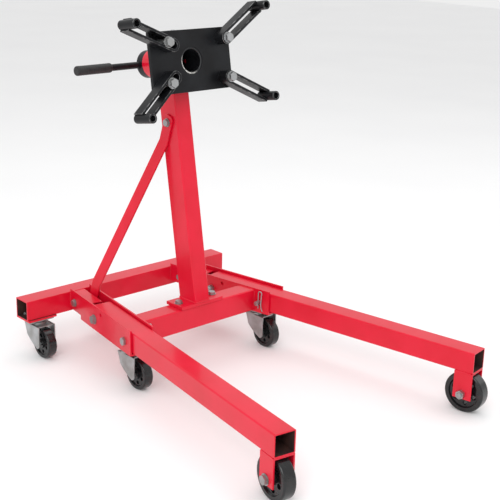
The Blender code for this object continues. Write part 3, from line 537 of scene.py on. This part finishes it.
def thread(radius, low, high):
    """The end of a bolt: rings of thread under a small chamfer."""
    body = cylinder(radius, low, high, 28)
    start_edit(body)
    pick(body, lambda e: abs(e.verts[0].co.z - e.verts[1].co.z) > (high - low) / 2)
    cuts = max(3, 2 * int((high - low) / THREAD_PITCH) - 1)
    bpy.ops.mesh.subdivide(number_cuts=cuts)
    bpy.ops.object.mode_set(mode="OBJECT")
    step = (high - low) / (cuts + 1)
    for point in body.data.vertices:
        ring = round((point.co.z - low) / step)
        depth = 0.93 if ring % 2 else 1.0
        if ring == cuts + 1:
            depth = 0.86
        point.co.x *= depth
        point.co.y *= depth
    return body


def hex_bolt(node, origin, way, radius, head_radius=None, washer=True):
    """A bolt, its washers and its nut over the length of its frame part, head first along way."""
    source = frame["nodes"][node]
    into = Vector(way).normalized()
    reach = [(point.co - Vector(origin)).dot(into) for point in source.data.vertices]
    start, end = min(reach), max(reach)
    head_radius = head_radius or HEAD_WIDE * radius
    head_tall = HEAD_TALL * radius
    far = (end - start) - NUT_TO_END * radius
    parts = [hexagon(head_radius, 0, head_tall, True, False),
             hexagon(head_radius, far, far + NUT_TALL * radius, False, True),
             thread(radius, far - 0.002, end - start),
             cylinder(radius, 0.5 * radius, far, 28)]
    if washer:
        parts.append(cylinder(1.15 * head_radius, head_tall, head_tall + WASHER, 40))
    piece = merge(node + "_plated", *parts)
    turn = into.to_track_quat("Z", "Y").to_matrix().to_4x4()
    place_mesh(piece, Matrix.Translation(Vector(origin) + into * start) @ turn)
    finish_mesh(piece, 0.00025, 1)
    piece.data.materials.append(zinc)
    return settle(piece, source["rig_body"], "zinc_steel", node)


# ---- Base plate and post ------------------------------------------------------------------------------------
# The post is a rectangular tube that leans back over the base. Its foot is welded to a thick plate that two
# bolts hold to the cross beam, and its top is cut to saddle the head tube.
SMALL_BOLT = 0.005
dress("base_plate", red_coat, "red_paint", edge=0.0009)
dress("post", red_coat, "red_paint", long_edges=0.3)
for side in SIDES:
    hex_bolt("base_bolt_" + side, middle_of("base_bolt_" + side), (0, 0, -1), SMALL_BOLT)
post_low, post_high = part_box("post")
plate_low, plate_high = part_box("base_plate")
foot = [point.co for point in frame["nodes"]["post"].data.vertices if point.co.z < plate_high.z + 0.002]
foot_front, foot_back = min(p.y for p in foot), max(p.y for p in foot)
weld_z = plate_high.z + BEAD * 0.4
for name, start, end in (("front", (post_low.x, foot_front, weld_z), (post_high.x, foot_front, weld_z)),
                         ("back", (post_low.x, foot_back, weld_z), (post_high.x, foot_back, weld_z)),
                         ("left", (post_low.x, foot_front, weld_z), (post_low.x, foot_back, weld_z)),
                         ("right", (post_high.x, foot_front, weld_z), (post_high.x, foot_back, weld_z))):
    bead("post_weld_" + name, start, end, BEAD, red_coat, "base", "red_paint")

# ---- Braces -------------------------------------------------------------------------------------------------
# Two flat steel bars from the beam's corners up to the post, cranked at both ends, red, with clipped corners.
# One long bolt runs through both bars and the post.
for side in SIDES:
    dress("brace_" + side, red_coat, "red_paint", edge=0.0008)
hex_bolt("brace_bolt", middle_of("brace_bolt"), (1, 0, 0), SMALL_BOLT)

# ---- Channels and stubs -------------------------------------------------------------------------------------
# Bent plate channels that hold the legs, welded to the beam's front. Behind each leg a short tube closes the
# channel, and the brace's foot is bolted between the two.
for side, sign in SIDES.items():
    dress("channel_" + side, red_coat, "red_paint", edge=0.0008)
    dress("stub_" + side, red_coat, "red_paint", long_edges=0.06)
    across = Vector(joint["leg_fold_" + side]["axis"]) * sign
    hex_bolt("stub_bolt_" + side, middle_of("stub_bolt_" + side), across, SMALL_BOLT)

# ---- Leg pivots and lock pins -------------------------------------------------------------------------------
# Each leg turns on a through bolt. A headed pin further forward locks it down, and a spring clip of round wire
# stops the pin from working out.
PIVOT_BOLT = 0.006
PIN_RADIUS = 0.006
CLIP_WIRE = 0.0014
CLIP_LOOP = 0.0055
CLIP_LOOP_RISE = 0.026
for side, sign in SIDES.items():
    across = Vector(joint["leg_fold_" + side]["axis"]) * sign
    hex_bolt("pivot_bolt_" + side, joint["leg_fold_" + side]["pos_m"], across, PIVOT_BOLT)

    middle = middle_of("lock_pin_" + side)
    reach = [(point.co - middle).dot(across) for point in frame["nodes"]["lock_pin_" + side].data.vertices]
    length = max(reach) - min(reach)
    head = hexagon(1.7 * PIN_RADIUS, 0, PIN_RADIUS, True, False)
    shank = cylinder(PIN_RADIUS, PIN_RADIUS / 2, length, 32)
    start_edit(shank)
    pick(shank, lambda e: all(v.co.z > length - 1e-6 for v in e.verts) and e.calc_length() < 0.003)
    bpy.ops.mesh.bevel(offset=0.0012, segments=3, affect="EDGES")
    bpy.ops.object.mode_set(mode="OBJECT")
    pin = merge("lock_pin_" + side + "_plated", head, shank)
    turn = across.to_track_quat("Z", "Y").to_matrix().to_4x4()
    centre = Vector((middle.x, middle.y, joint["leg_fold_" + side]["pos_m"][2])) + across * min(reach)
    place_mesh(pin, Matrix.Translation(centre) @ turn)
    finish_mesh(pin, 0.0003, 1)
    pin.data.materials.append(zinc)
    settle(pin, "base", "zinc_steel", "lock_pin_" + side)

    clip_low, clip_high = local_box("clip_" + side, along_leg(side))
    wire_y = clip_high.y - CLIP_WIRE
    wire_x = (clip_low.x + clip_high.x) / 2
    bow = PIN_RADIUS + CLIP_WIRE + 0.0012
    route = [(0, -0.014), (0, 0.0), (0, 0.012), (0, 0.020)]
    for i in range(25):
        angle = math.pi * (1 - 1.25 * i / 24)
        route.append((-CLIP_LOOP * (1 + math.cos(angle)), CLIP_LOOP_RISE + CLIP_LOOP * math.sin(angle)))
    route += [(-bow - 0.001, 0.012), (-bow - 0.0002, 0.008), (-bow, 0.004), (-bow, -0.004),
              (-bow - 0.0006, -0.009), (-bow - 0.0014, -0.012), (-bow - 0.0032, -0.016), (-bow - 0.005, -0.020)]
    bend = bpy.data.curves.new("clip", "CURVE")
    bend.dimensions = "3D"
    bend.bevel_depth = CLIP_WIRE
    bend.bevel_resolution = 4
    bend.use_fill_caps = True
    spline = bend.splines.new("POLY")
    spline.points.add(len(route) - 1)
    for point, (y, z) in zip(spline.points, route):
        point.co = (0, y, z, 1)
    clip = bpy.data.objects.new("clip_" + side + "_wire", bend)
    bpy.context.scene.collection.objects.link(clip)
    bpy.ops.object.select_all(action="DESELECT")
    clip.select_set(True)
    bpy.context.view_layer.objects.active = clip
    bpy.ops.object.convert(target="MESH")
    place_mesh(clip, along_leg(side) @ Matrix.Translation((wire_x, wire_y, 0)))
    start_edit(clip)
    bpy.ops.mesh.select_all(action="SELECT")
    bpy.ops.mesh.remove_doubles(threshold=0.00001)
    finish_mesh(clip, 0)
    clip.data.materials.append(zinc)
    settle(clip, "clip_" + side, "zinc_steel", "clip_" + side)

# ---- Legs ---------------------------------------------------------------------------------------------------
# Long square tubes that splay outwards to the front, open at both ends. Under each front end a bent fork is
# welded on for a fixed wheel.
FORK_BEAD = 0.0019
FORK_BEAD_IN = 0.0012
FRONT_AXLE = 0.006
for side, sign in SIDES.items():
    leg = dress("leg_" + side, red_coat, "red_paint", long_edges=0.3)
    line_inside(leg, joint["leg_fold_" + side]["pos_m"], along_leg(side).to_3x3() @ Vector((0, 1, 0)))
    dress("front_fork_" + side, red_coat, "red_paint", edge=0.0009)
    place = along_leg(side)
    fork_low, fork_high = local_box("front_fork_" + side, place)
    for face, x in (("left", fork_low.x + FORK_BEAD_IN), ("right", fork_high.x - FORK_BEAD_IN)):
        start = place @ Vector((x, fork_low.y + 0.004, fork_high.z))
        end = place @ Vector((x, fork_high.y - 0.002, fork_high.z))
        bead(f"fork_weld_{face}_{side}", start, end, FORK_BEAD, red_coat, "leg_" + side, "red_paint")
    start = place @ Vector((fork_low.x + 0.004, fork_low.y + FORK_BEAD_IN, fork_high.z))
    end = place @ Vector((fork_high.x - 0.004, fork_low.y + FORK_BEAD_IN, fork_high.z))
    bead("fork_weld_front_" + side, start, end, FORK_BEAD, red_coat, "leg_" + side, "red_paint")
    across = Vector(joint["leg_fold_" + side]["axis"]) * sign
    spin = joint["front_wheel_spin_" + side]
    hex_bolt("front_axle_" + side, spin["pos_m"], across, FRONT_AXLE)

# ---- Wheels -------------------------------------------------------------------------------------------------
# Moulded black wheels with a rounded tread, a thin web with six round holes and a hub on a plain bore. The front
# ones turn in the legs' forks, the smaller ones in the casters.
WHEEL_BLACK = (0.007, 0.007, 0.008, 1)
WHEEL_WORN = (0.022, 0.021, 0.020, 1)
WEB_HOLES = 6
WEB_THICK = 0.72        # of the rim's width
FRONT_BORE = 0.0066
RIM_DEEP = 0.23         # this and the next seven are times the wheel's radius
RIM_SLOPE = 0.05
WEB_DEEP = 0.39
HUB_SLOPE = 0.03
HUB_RADIUS = 0.30
TREAD_ROUND = 0.09
WEB_HOLE = 0.125
WEB_HOLE_RING = 0.54


def moulded_black():
    """Hard black moulding: satin, with a fine grain, and dust that greys the rolling face."""
    made, shader, at = new_finish("moulded_black")
    dust = at.speckle(55.0, 6.0, 0.7).between(0.48, 0.72)
    grain = at.speckle(700.0, 2.0)
    feed(shader, "Base Color", (dust * 0.6).blend_to(WHEEL_BLACK, WHEEL_WORN))
    feed(shader, "Roughness", 0.17 + 0.24 * dust)
    feed(shader, "Normal", grain.raised(0.00008, 0.35))
    return made


wheel_black = moulded_black()


def wheel(node, spin, bore):
    """A wheel on its joint's axle: one cylinder, its two sides inset and pressed into rim, web and hub."""
    axle = Vector(spin["axis"])
    reach = [(point.co - Vector(spin["pos_m"])).dot(axle) for point in frame["nodes"][node].data.vertices]
    hub_half = max(reach)
    half = hub_half - 0.001
    radius = spin["pos_m"][2]
    body = cylinder(radius, -half, half, 96)
    start_edit(body)
    pick(body, lambda f: abs(f.normal.z) > 0.9, "FACE")
    bpy.ops.mesh.inset(thickness=RIM_DEEP * radius)
    bpy.ops.mesh.inset(thickness=RIM_SLOPE * radius)
    bpy.ops.transform.resize(value=(1, 1, WEB_THICK), center_override=(0, 0, 0))
    bpy.ops.mesh.inset(thickness=WEB_DEEP * radius)
    bpy.ops.mesh.inset(thickness=HUB_SLOPE * radius)
    bpy.ops.transform.resize(value=(1, 1, hub_half / half / WEB_THICK), center_override=(0, 0, 0))
    bpy.ops.mesh.inset(thickness=HUB_RADIUS * radius - bore)
    bpy.ops.mesh.delete(type="FACE")
    pick(body, lambda e: e.is_boundary)
    bpy.ops.mesh.bridge_edge_loops()
    pick(body, lambda e: all(abs(v.co.xy.length - radius) < 1e-5 for v in e.verts)
         and abs(e.verts[0].co.z - e.verts[1].co.z) < 1e-6)
    bpy.ops.mesh.bevel(offset=TREAD_ROUND * radius, segments=5, affect="EDGES")
    bpy.ops.object.mode_set(mode="OBJECT")
    for i in range(WEB_HOLES):
        angle = 2 * math.pi * (i + 0.3) / WEB_HOLES
        hole = cylinder(WEB_HOLE * radius, -half, half, 28)
        ring = WEB_HOLE_RING * radius
        hole.data.transform(Matrix.Translation((ring * math.cos(angle), ring * math.sin(angle), 0)))
        combine(body, hole, "DIFFERENCE")
    body.name = node + "_moulded"
    place_mesh(body, Matrix.Translation(spin["pos_m"]) @ axle.to_track_quat("Z", "Y").to_matrix().to_4x4())
    finish_mesh(body, 0.0005, 2)
    body.data.materials.append(wheel_black)
    return settle(body, frame["nodes"][node]["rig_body"], "black_wheel", node)


for side in SIDES:
    wheel("front_wheel_" + side, joint["front_wheel_spin_" + side], FRONT_BORE)

# ---- Swivel casters -----------------------------------------------------------------------------------------
# Zinc-plated pressings: a top plate bolted up through the beam or the channel, a ball race, and a fork that
# swivels on the king pin and trails its wheel behind.
CORNERS = ("rear_left", "rear_right", "mid_left", "mid_right")
CHEEK = 0.003
EAR = 0.011
CROWN_BACK = 0.019
CHEEK_BACK = 4.0
HEEL_RISE = 0.020
CROWN_RADIUS = 0.024
CASTER_AXLE = 0.004
CASTER_BORE = 0.0046
for corner in CORNERS:
    dress("caster_plate_" + corner, zinc, "zinc_steel", edge=0.0005)
    swivel = Vector(joint["caster_swivel_" + corner]["pos_m"])
    spin = joint["caster_wheel_spin_" + corner]
    axle = Vector(spin["pos_m"])
    fork_low, fork_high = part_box("caster_fork_" + corner)
    trail = axle.y - swivel.y
    cheek_top = fork_high.z - 0.0035
    pieces = []
    for sign in (-1, 1):
        x = (fork_high.x - CHEEK / 2 - swivel.x) * sign
        cheek = cylinder(EAR, -CHEEK / 2, CHEEK / 2, 48)
        for point in cheek.data.vertices:
            across, up, thick = point.co.x, point.co.y, point.co.z
            if across > 0 and up < 0.001:
                up += across / EAR * HEEL_RISE
                across *= CHEEK_BACK
            elif up > 0.001:
                share = (across + EAR) / (2 * EAR)
                across = -EAR + share * (CROWN_BACK - trail + EAR)
                up = cheek_top - axle.z
            point.co = (x + thick, across + trail, up + axle.z)
        start_edit(cheek)
        bpy.ops.mesh.select_all(action="SELECT")
        bpy.ops.mesh.normals_make_consistent(inside=False)
        bpy.ops.object.mode_set(mode="OBJECT")
        pieces.append(cheek)
    crown = cylinder(CROWN_RADIUS, fork_high.z - 0.0065, fork_high.z, 56)
    start_edit(crown)
    pick(crown, lambda e: all(v.co.z > fork_high.z - 1e-5 for v in e.verts) and e.calc_length() < 0.01)
    bpy.ops.mesh.bevel(offset=0.0025, segments=4, affect="EDGES")
    bpy.ops.object.mode_set(mode="OBJECT")
    pieces.append(crown)
    bpy.ops.object.select_all(action="DESELECT")
    bpy.ops.mesh.primitive_cube_add(size=1)
    bridge = bpy.context.object
    crown_front = trail - EAR + 0.006
    bridge.data.transform(Matrix.Translation((0, (CROWN_BACK + crown_front) / 2, fork_high.z - 0.006)) @
                          Matrix.Diagonal((fork_high.x - fork_low.x, CROWN_BACK - crown_front, CHEEK, 1)))
    start_edit(bridge)
    pick(bridge, lambda e: abs(e.verts[0].co.y - e.verts[1].co.y) > 0.03
         and e.verts[0].co.z > fork_high.z - 0.0055)
    bpy.ops.mesh.bevel(offset=0.0022, segments=4, affect="EDGES")
    bpy.ops.object.mode_set(mode="OBJECT")
    pieces.append(bridge)
    fork = merge("caster_fork_" + corner + "_pressed", *pieces)
    place_mesh(fork, Matrix.Translation((swivel.x, swivel.y, 0)))
    finish_mesh(fork, 0.0006, 2)
    fork.data.materials.append(zinc)
    settle(fork, "caster_" + corner, "zinc_steel", "caster_fork_" + corner)
    hex_bolt("caster_axle_" + corner, axle, (1, 0, 0), CASTER_AXLE, washer=False)
    wheel("caster_wheel_" + corner, spin, CASTER_BORE)

# ---- Head tube and index pin --------------------------------------------------------------------------------
# The fixed bearing tube, welded into the post's saddle, with a boss on top for the pin that drops into one of
# the spindle's eight holes and stops the head from turning.
HEAD_TUBE_WALL = 0.0036
BOSS_RADIUS = 0.011
BOSS_SINK = 0.002
BOSS_WELD_RING = 0.0112
BOSS_BEAD = 0.0016
INDEX_PIN = 0.005
INDEX_PULL = 0.004
head_axis = Vector(joint["head_turn"]["axis"])
head_up = Vector(joint["index_pin_drop"]["axis"])
head_place = Matrix.Translation(joint["head_turn"]["pos_m"]) @ \
    Matrix((Vector((1, 0, 0)), head_up, -head_axis)).transposed().to_4x4()
# in head_place, X is to the right, Y up along the post and Z to the front


def tube(outer, inner, low, high, sides=72):
    """An open tube on Z."""
    made = cylinder(outer, low, high, sides)
    start_edit(made)
    pick(made, lambda f: abs(f.normal.z) > 0.9, "FACE")
    bpy.ops.mesh.inset(thickness=outer - inner)
    bpy.ops.mesh.delete(type="FACE")
    pick(made, lambda e: e.is_boundary)
    bpy.ops.mesh.bridge_edge_loops()
    bpy.ops.object.mode_set(mode="OBJECT")
    return made


sleeve_low, sleeve_high = local_box("head_tube", head_place)
head_radius = sleeve_high.x
pin_low, pin_high = local_box("index_pin", head_place)
pin_z = (pin_low.z + pin_high.z) / 2
barrel = tube(head_radius, head_radius - HEAD_TUBE_WALL, sleeve_low.z, sleeve_high.z)
boss = cylinder(BOSS_RADIUS, 0, sleeve_high.y - head_radius + BOSS_SINK, 40)
boss.data.transform(Matrix.Translation((0, head_radius - BOSS_SINK, pin_z)) @
                    Matrix.Rotation(-math.pi / 2, 4, "X"))
barrel = merge("head_tube_coated", barrel, boss)
place_mesh(barrel, head_place)
finish_mesh(barrel, 0.0008, 2)
barrel.data.materials.append(red_coat)
settle(barrel, "base", "red_paint", "head_tube")
ring_bead("boss_weld", head_place @ Matrix.Translation((0, head_radius + 0.0006, pin_z)) @
          Matrix.Rotation(-math.pi / 2, 4, "X"), BOSS_WELD_RING, BOSS_BEAD, red_coat, "base", "red_paint")

pin = cylinder(INDEX_PIN, pin_low.y, pin_high.y, 32)
start_edit(pin)
pick(pin, lambda e: abs(e.verts[0].co.z - e.verts[1].co.z) < 1e-6 and e.calc_length() < 0.003)
bpy.ops.mesh.bevel(offset=0.0012, segments=3, affect="EDGES")
bpy.ops.object.mode_set(mode="OBJECT")
pull = cylinder(INDEX_PULL, pin_low.x, pin_high.x, 28)
start_edit(pull)
pick(pull, lambda e: abs(e.verts[0].co.z - e.verts[1].co.z) < 1e-6 and e.calc_length() < 0.003)
bpy.ops.mesh.bevel(offset=0.0018, segments=4, affect="EDGES")
bpy.ops.object.mode_set(mode="OBJECT")
pull.data.transform(Matrix.Translation((0, 0, pin_high.y - INDEX_PIN)) @ Matrix.Rotation(math.pi / 2, 4, "Y"))
pin = merge("index_pin_plated", pin, pull)
place_mesh(pin, head_place @ Matrix.Translation((0, 0, pin_z)) @ Matrix.Rotation(-math.pi / 2, 4, "X"))
finish_mesh(pin, 0)
pin.data.materials.append(zinc)
settle(pin, "index_pin", "zinc_steel", "index_pin")

# ---- Face plate, spindle and collar -------------------------------------------------------------------------
# The turning part of the head: a thick plate welded round the front of the spindle tube, and a collar welded on
# behind the head tube. Black semi-gloss powder coat, rubbed bright where the arms' bolts bear; the bright metal
# on the arms' edges is also a painted highlight.
BLACK_COAT = (0.006, 0.006, 0.007, 1)
BLACK_MOTTLE = (0.011, 0.012, 0.014, 1)
BLACK_RUB = (0.090, 0.090, 0.095, 1)


def black_powder_coat():
    """Semi-gloss black coat: mottled, slightly textured, with fine grey scuffs."""
    made, shader, at = new_finish("black_powder_coat")
    mottle = at.speckle(24.0, 4.0).between(0.35, 0.68)
    texture = at.speckle(520.0, 2.0)
    scuff = at.speckle(120.0, 8.0, 0.75).between(0.70, 0.76)
    feed(shader, "Base Color", scuff.blend_to(mottle.blend_to(BLACK_COAT, BLACK_MOTTLE), BLACK_RUB))
    feed(shader, "Roughness", 0.30 + 0.12 * mottle + 0.18 * scuff)
    feed(shader, "Normal", texture.raised(0.00009, 0.45))
    feed(shader, "Specular IOR Level", 0.20)
    return made


black_coat = black_powder_coat()
dress("face_plate", black_coat, "black_paint", edge=0.0011)
spindle_low, spindle_high = local_box("spindle", head_place)
spindle_radius = spindle_high.x
BORE_STEP = 0.006
SPINDLE_WALL = 0.003
INDEX_HOLES = 8
INDEX_BORE = 0.0053
BORE_REACH = 0.008
spindle = tube(spindle_radius, spindle_radius - SPINDLE_WALL, spindle_low.z, spindle_high.z - BORE_STEP)
spindle.name = "spindle_coated"
for i in range(INDEX_HOLES):
    angle = 2 * math.pi * i / INDEX_HOLES + math.pi / 2
    hole = cylinder(INDEX_BORE, spindle_radius - BORE_REACH, spindle_radius + BORE_REACH, 24)
    hole.data.transform(Matrix.Translation((0, 0, pin_z)) @ Matrix.Rotation(angle, 4, "Z") @
                        Matrix.Rotation(math.pi / 2, 4, "Y"))
    combine(spindle, hole, "DIFFERENCE")
place_mesh(spindle, head_place)
finish_mesh(spindle, 0.0005, 2)
spindle.data.materials.append(black_coat)
settle(spindle, "head", "black_paint", "spindle")
plate_low, plate_high = local_box("face_plate", head_place)
BORE_BEAD = 0.0026
# The spindle's weld ring is black, with bright bare metal only on its lower-left crescent. That crescent is bare
# weld metal and also a painted highlight.
WELD_BRIGHT = (0.62, 0.61, 0.58, 1)
bore_centre = head_place @ Vector((0, 0, plate_high.z))
bore_weld_with_highlight, weld_shader, weld_at = new_finish("bore_weld_with_highlight")
weld_x = weld_at.node("ShaderNodeSeparateXYZ", 0, None, Vector=weld_at)
weld_z = weld_at.node("ShaderNodeSeparateXYZ", 2, None, Vector=weld_at)
bare_and_highlight = (bore_centre.z - weld_z - weld_x).between(0.010, 0.030) * \
    weld_at.speckle(150.0, 4.0).between(0.36, 0.50)
feed(weld_shader, "Base Color", bare_and_highlight.blend_to(BLACK_MOTTLE, WELD_BRIGHT))
feed(weld_shader, "Metallic", 0.7 * bare_and_highlight)
feed(weld_shader, "Roughness", 0.32 + 0.10 * weld_at.speckle(60.0, 3.0))
ring_bead("spindle_weld", head_place @ Matrix.Translation((0, 0, plate_high.z - BORE_STEP + 0.0022)),
          spindle_radius - 0.0012, BORE_BEAD, bore_weld_with_highlight, "head", "black_paint")

collar_low, collar_high = local_box("rear_collar", head_place)
collar = cylinder(collar_high.x, collar_low.z, collar_high.z, 72)
collar.name = "rear_collar_coated"
seat = cylinder(spindle_radius + 0.0004, spindle_low.z - 0.0004, collar_high.z + 0.01, 72)
combine(collar, seat, "DIFFERENCE")
bar_low, bar_high = local_box("handle_bar", head_place)
handle_z = (bar_low.z + bar_high.z) / 2
through = cylinder(0.0083, -0.08, 0.08, 40)
through.data.transform(Matrix.Translation((0, 0, handle_z)) @ Matrix.Rotation(math.pi / 2, 4, "Y"))
combine(collar, through, "DIFFERENCE")
place_mesh(collar, head_place)
finish_mesh(collar, 0.0012, 3)
collar.data.materials.append(black_coat)
settle(collar, "head", "black_paint", "rear_collar")

# ---- Handle -------------------------------------------------------------------------------------------------
# A round bar that slides through the collar to turn the head, with a stop at one end and a moulded rubber grip
# with shallow rings on the other.
GRIP_BLACK = (0.010, 0.010, 0.011, 1)
GRIP_DULL = (0.030, 0.029, 0.029, 1)
BAR_RADIUS = 0.008
STOP_LENGTH = 0.0083
GRIP_CUTS = 76
GRIP_RINGS = 15
bar = cylinder(BAR_RADIUS, bar_low.x, bar_high.x - 0.0003, 48)
stop = cylinder(bar_high.y, bar_high.x - STOP_LENGTH, bar_high.x, 48)
handle = merge("handle_bar_coated", bar, stop)
handle_place = head_place @ Matrix.Translation((0, 0, handle_z)) @ Matrix.Rotation(math.pi / 2, 4, "Y")
place_mesh(handle, handle_place)
finish_mesh(handle, 0.0012, 3)
handle.data.materials.append(black_coat)
settle(handle, "handle", "black_paint", "handle_bar")

grip_low, grip_high = local_box("handle_grip", head_place)
grip = cylinder(grip_high.y, grip_low.x, grip_high.x, 56)
start_edit(grip)
pick(grip, lambda e: abs(e.verts[0].co.z - e.verts[1].co.z) > 0.05)
bpy.ops.mesh.subdivide(number_cuts=GRIP_CUTS)
bpy.ops.object.mode_set(mode="OBJECT")
length = grip_high.x - grip_low.x
for point in grip.data.vertices:
    share = (point.co.z - grip_low.x) / length
    from_end = max(0.0, min(share, 1 - share))
    ring = 0.985 + 0.015 * math.cos(2 * math.pi * GRIP_RINGS * share) if from_end > 0.10 else 1.0
    nose = min(1.0, 0.86 + 0.14 * math.sqrt(from_end / 0.03))
    point.co.x *= ring * nose
    point.co.y *= ring * nose
grip.name = "handle_grip_moulded"
place_mesh(grip, handle_place)
finish_mesh(grip, 0)
grip_finish, grip_shader, grip_at = new_finish("grip_rubber")
grip_dust = grip_at.speckle(70.0, 5.0, 0.7).between(0.45, 0.75)
feed(grip_shader, "Base Color", grip_dust.blend_to(GRIP_BLACK, GRIP_DULL))
feed(grip_shader, "Roughness", 0.52 + 0.20 * grip_dust)
feed(grip_shader, "Normal", grip_at.speckle(800.0, 2.0).raised(0.0001, 0.4))
grip.data.materials.append(grip_finish)
settle(grip, "handle", "black_grip", "handle_grip")

# ---- Arms ---------------------------------------------------------------------------------------------------
# Each arm is a flat bar bent on edge into a long U, with a sleeve welded across its open end. A big bolt
# through the slot clamps it to the plate at any reach and angle.
ARM_BOLT = 0.008
ARM_HEAD = 0.0108
ARM_HALF = 0.015
SLOT_HALF = 0.0085
SLEEVE_OUTER = 0.011
SLEEVE_BORE = 0.0072
ARM_DEPTH = 0.030
ARM_BEAD = 0.0018
# The arms' rounded edges get a finish of their own: black with patches of grey metal. It is edge wear and also a
# painted highlight along the edges.
EDGE_WEAR_AND_HIGHLIGHT = (0.30, 0.30, 0.30, 1)
edge_wear_and_highlight, edge_finish_shader, edge_finish_at = new_finish("edge_wear_and_highlight")
wear_and_highlight = edge_finish_at.speckle(75.0, 6.0, 0.7).between(0.46, 0.62)
feed(edge_finish_shader, "Base Color", wear_and_highlight.blend_to(BLACK_MOTTLE, EDGE_WEAR_AND_HIGHLIGHT))
feed(edge_finish_shader, "Metallic", 0.85 * wear_and_highlight)
feed(edge_finish_shader, "Roughness", 0.34 - 0.08 * wear_and_highlight)
for name in ("upper_left", "upper_right", "lower_right", "lower_left"):
    node = "arm_" + name
    hinge = joint["arm_swing_" + name]
    outward = Vector(joint["arm_slide_" + name]["axis"])
    forward = -head_axis
    place = Matrix((outward, forward.cross(outward), forward)).transposed().to_4x4()
    place.translation = hinge["pos_m"]
    arm_low, arm_high = local_box(node, place)
    inner_x = arm_low.x + ARM_HALF
    sleeve_x = arm_high.x - SLEEVE_OUTER
    sleeve = tube(SLEEVE_OUTER, SLEEVE_BORE, arm_low.z, arm_high.z, 48)
    sleeve.data.transform(Matrix.Translation((sleeve_x, 0, 0)))
    wall = ARM_HALF - SLOT_HALF
    bpy.ops.object.select_all(action="DESELECT")
    bpy.ops.mesh.primitive_plane_add(size=1)
    strip = bpy.context.object
    strip.data.transform(Matrix.Translation((0, (ARM_HALF + SLOT_HALF) / 2, ARM_DEPTH / 2)) @
                         Matrix.Rotation(math.pi / 2, 4, "Y") @ Matrix.Diagonal((ARM_DEPTH, wall, 1, 1)))
    start_edit(strip)
    bpy.ops.mesh.select_all(action="SELECT")
    bpy.ops.mesh.spin(steps=32, angle=math.pi, center=(0, 0, 0), axis=(0, 0, -1))
    pick(strip, lambda f: abs(f.normal.x) > 0.99 and abs(f.calc_center_median().x) < 1e-5, "FACE")
    bpy.ops.mesh.extrude_region_move(TRANSFORM_OT_translate={"value": (sleeve_x - inner_x, 0, 0)})
    bpy.ops.mesh.select_all(action="SELECT")
    bpy.ops.mesh.remove_doubles(threshold=0.00001)
    bpy.ops.mesh.normals_make_consistent(inside=False)
    bpy.ops.object.mode_set(mode="OBJECT")
    strip.data.transform(Matrix.Translation((inner_x, 0, 0)))
    arm = merge(node + "_coated", strip, sleeve)
    place_mesh(arm, place)
    arm.data.materials.append(black_coat)
    arm.data.materials.append(edge_wear_and_highlight)
    finish_mesh(arm, 0.0009, 3, edge_finish=1)
    settle(arm, node, "black_paint", node)
    for level, side in (("lower", -1), ("upper", 1)):
        y = side * (SLOT_HALF + wall / 2)
        start = place @ Vector((sleeve_x - SLEEVE_OUTER * 0.72, y - 0.002, ARM_DEPTH))
        end = place @ Vector((sleeve_x - SLEEVE_OUTER * 0.45, y + side * 0.002, ARM_DEPTH))
        bead(f"{node}_weld_{level}", start, end, ARM_BEAD, black_coat, node, "black_paint")
    hex_bolt("arm_bolt_" + name, hinge["pos_m"], head_axis, ARM_BOLT, ARM_HEAD)
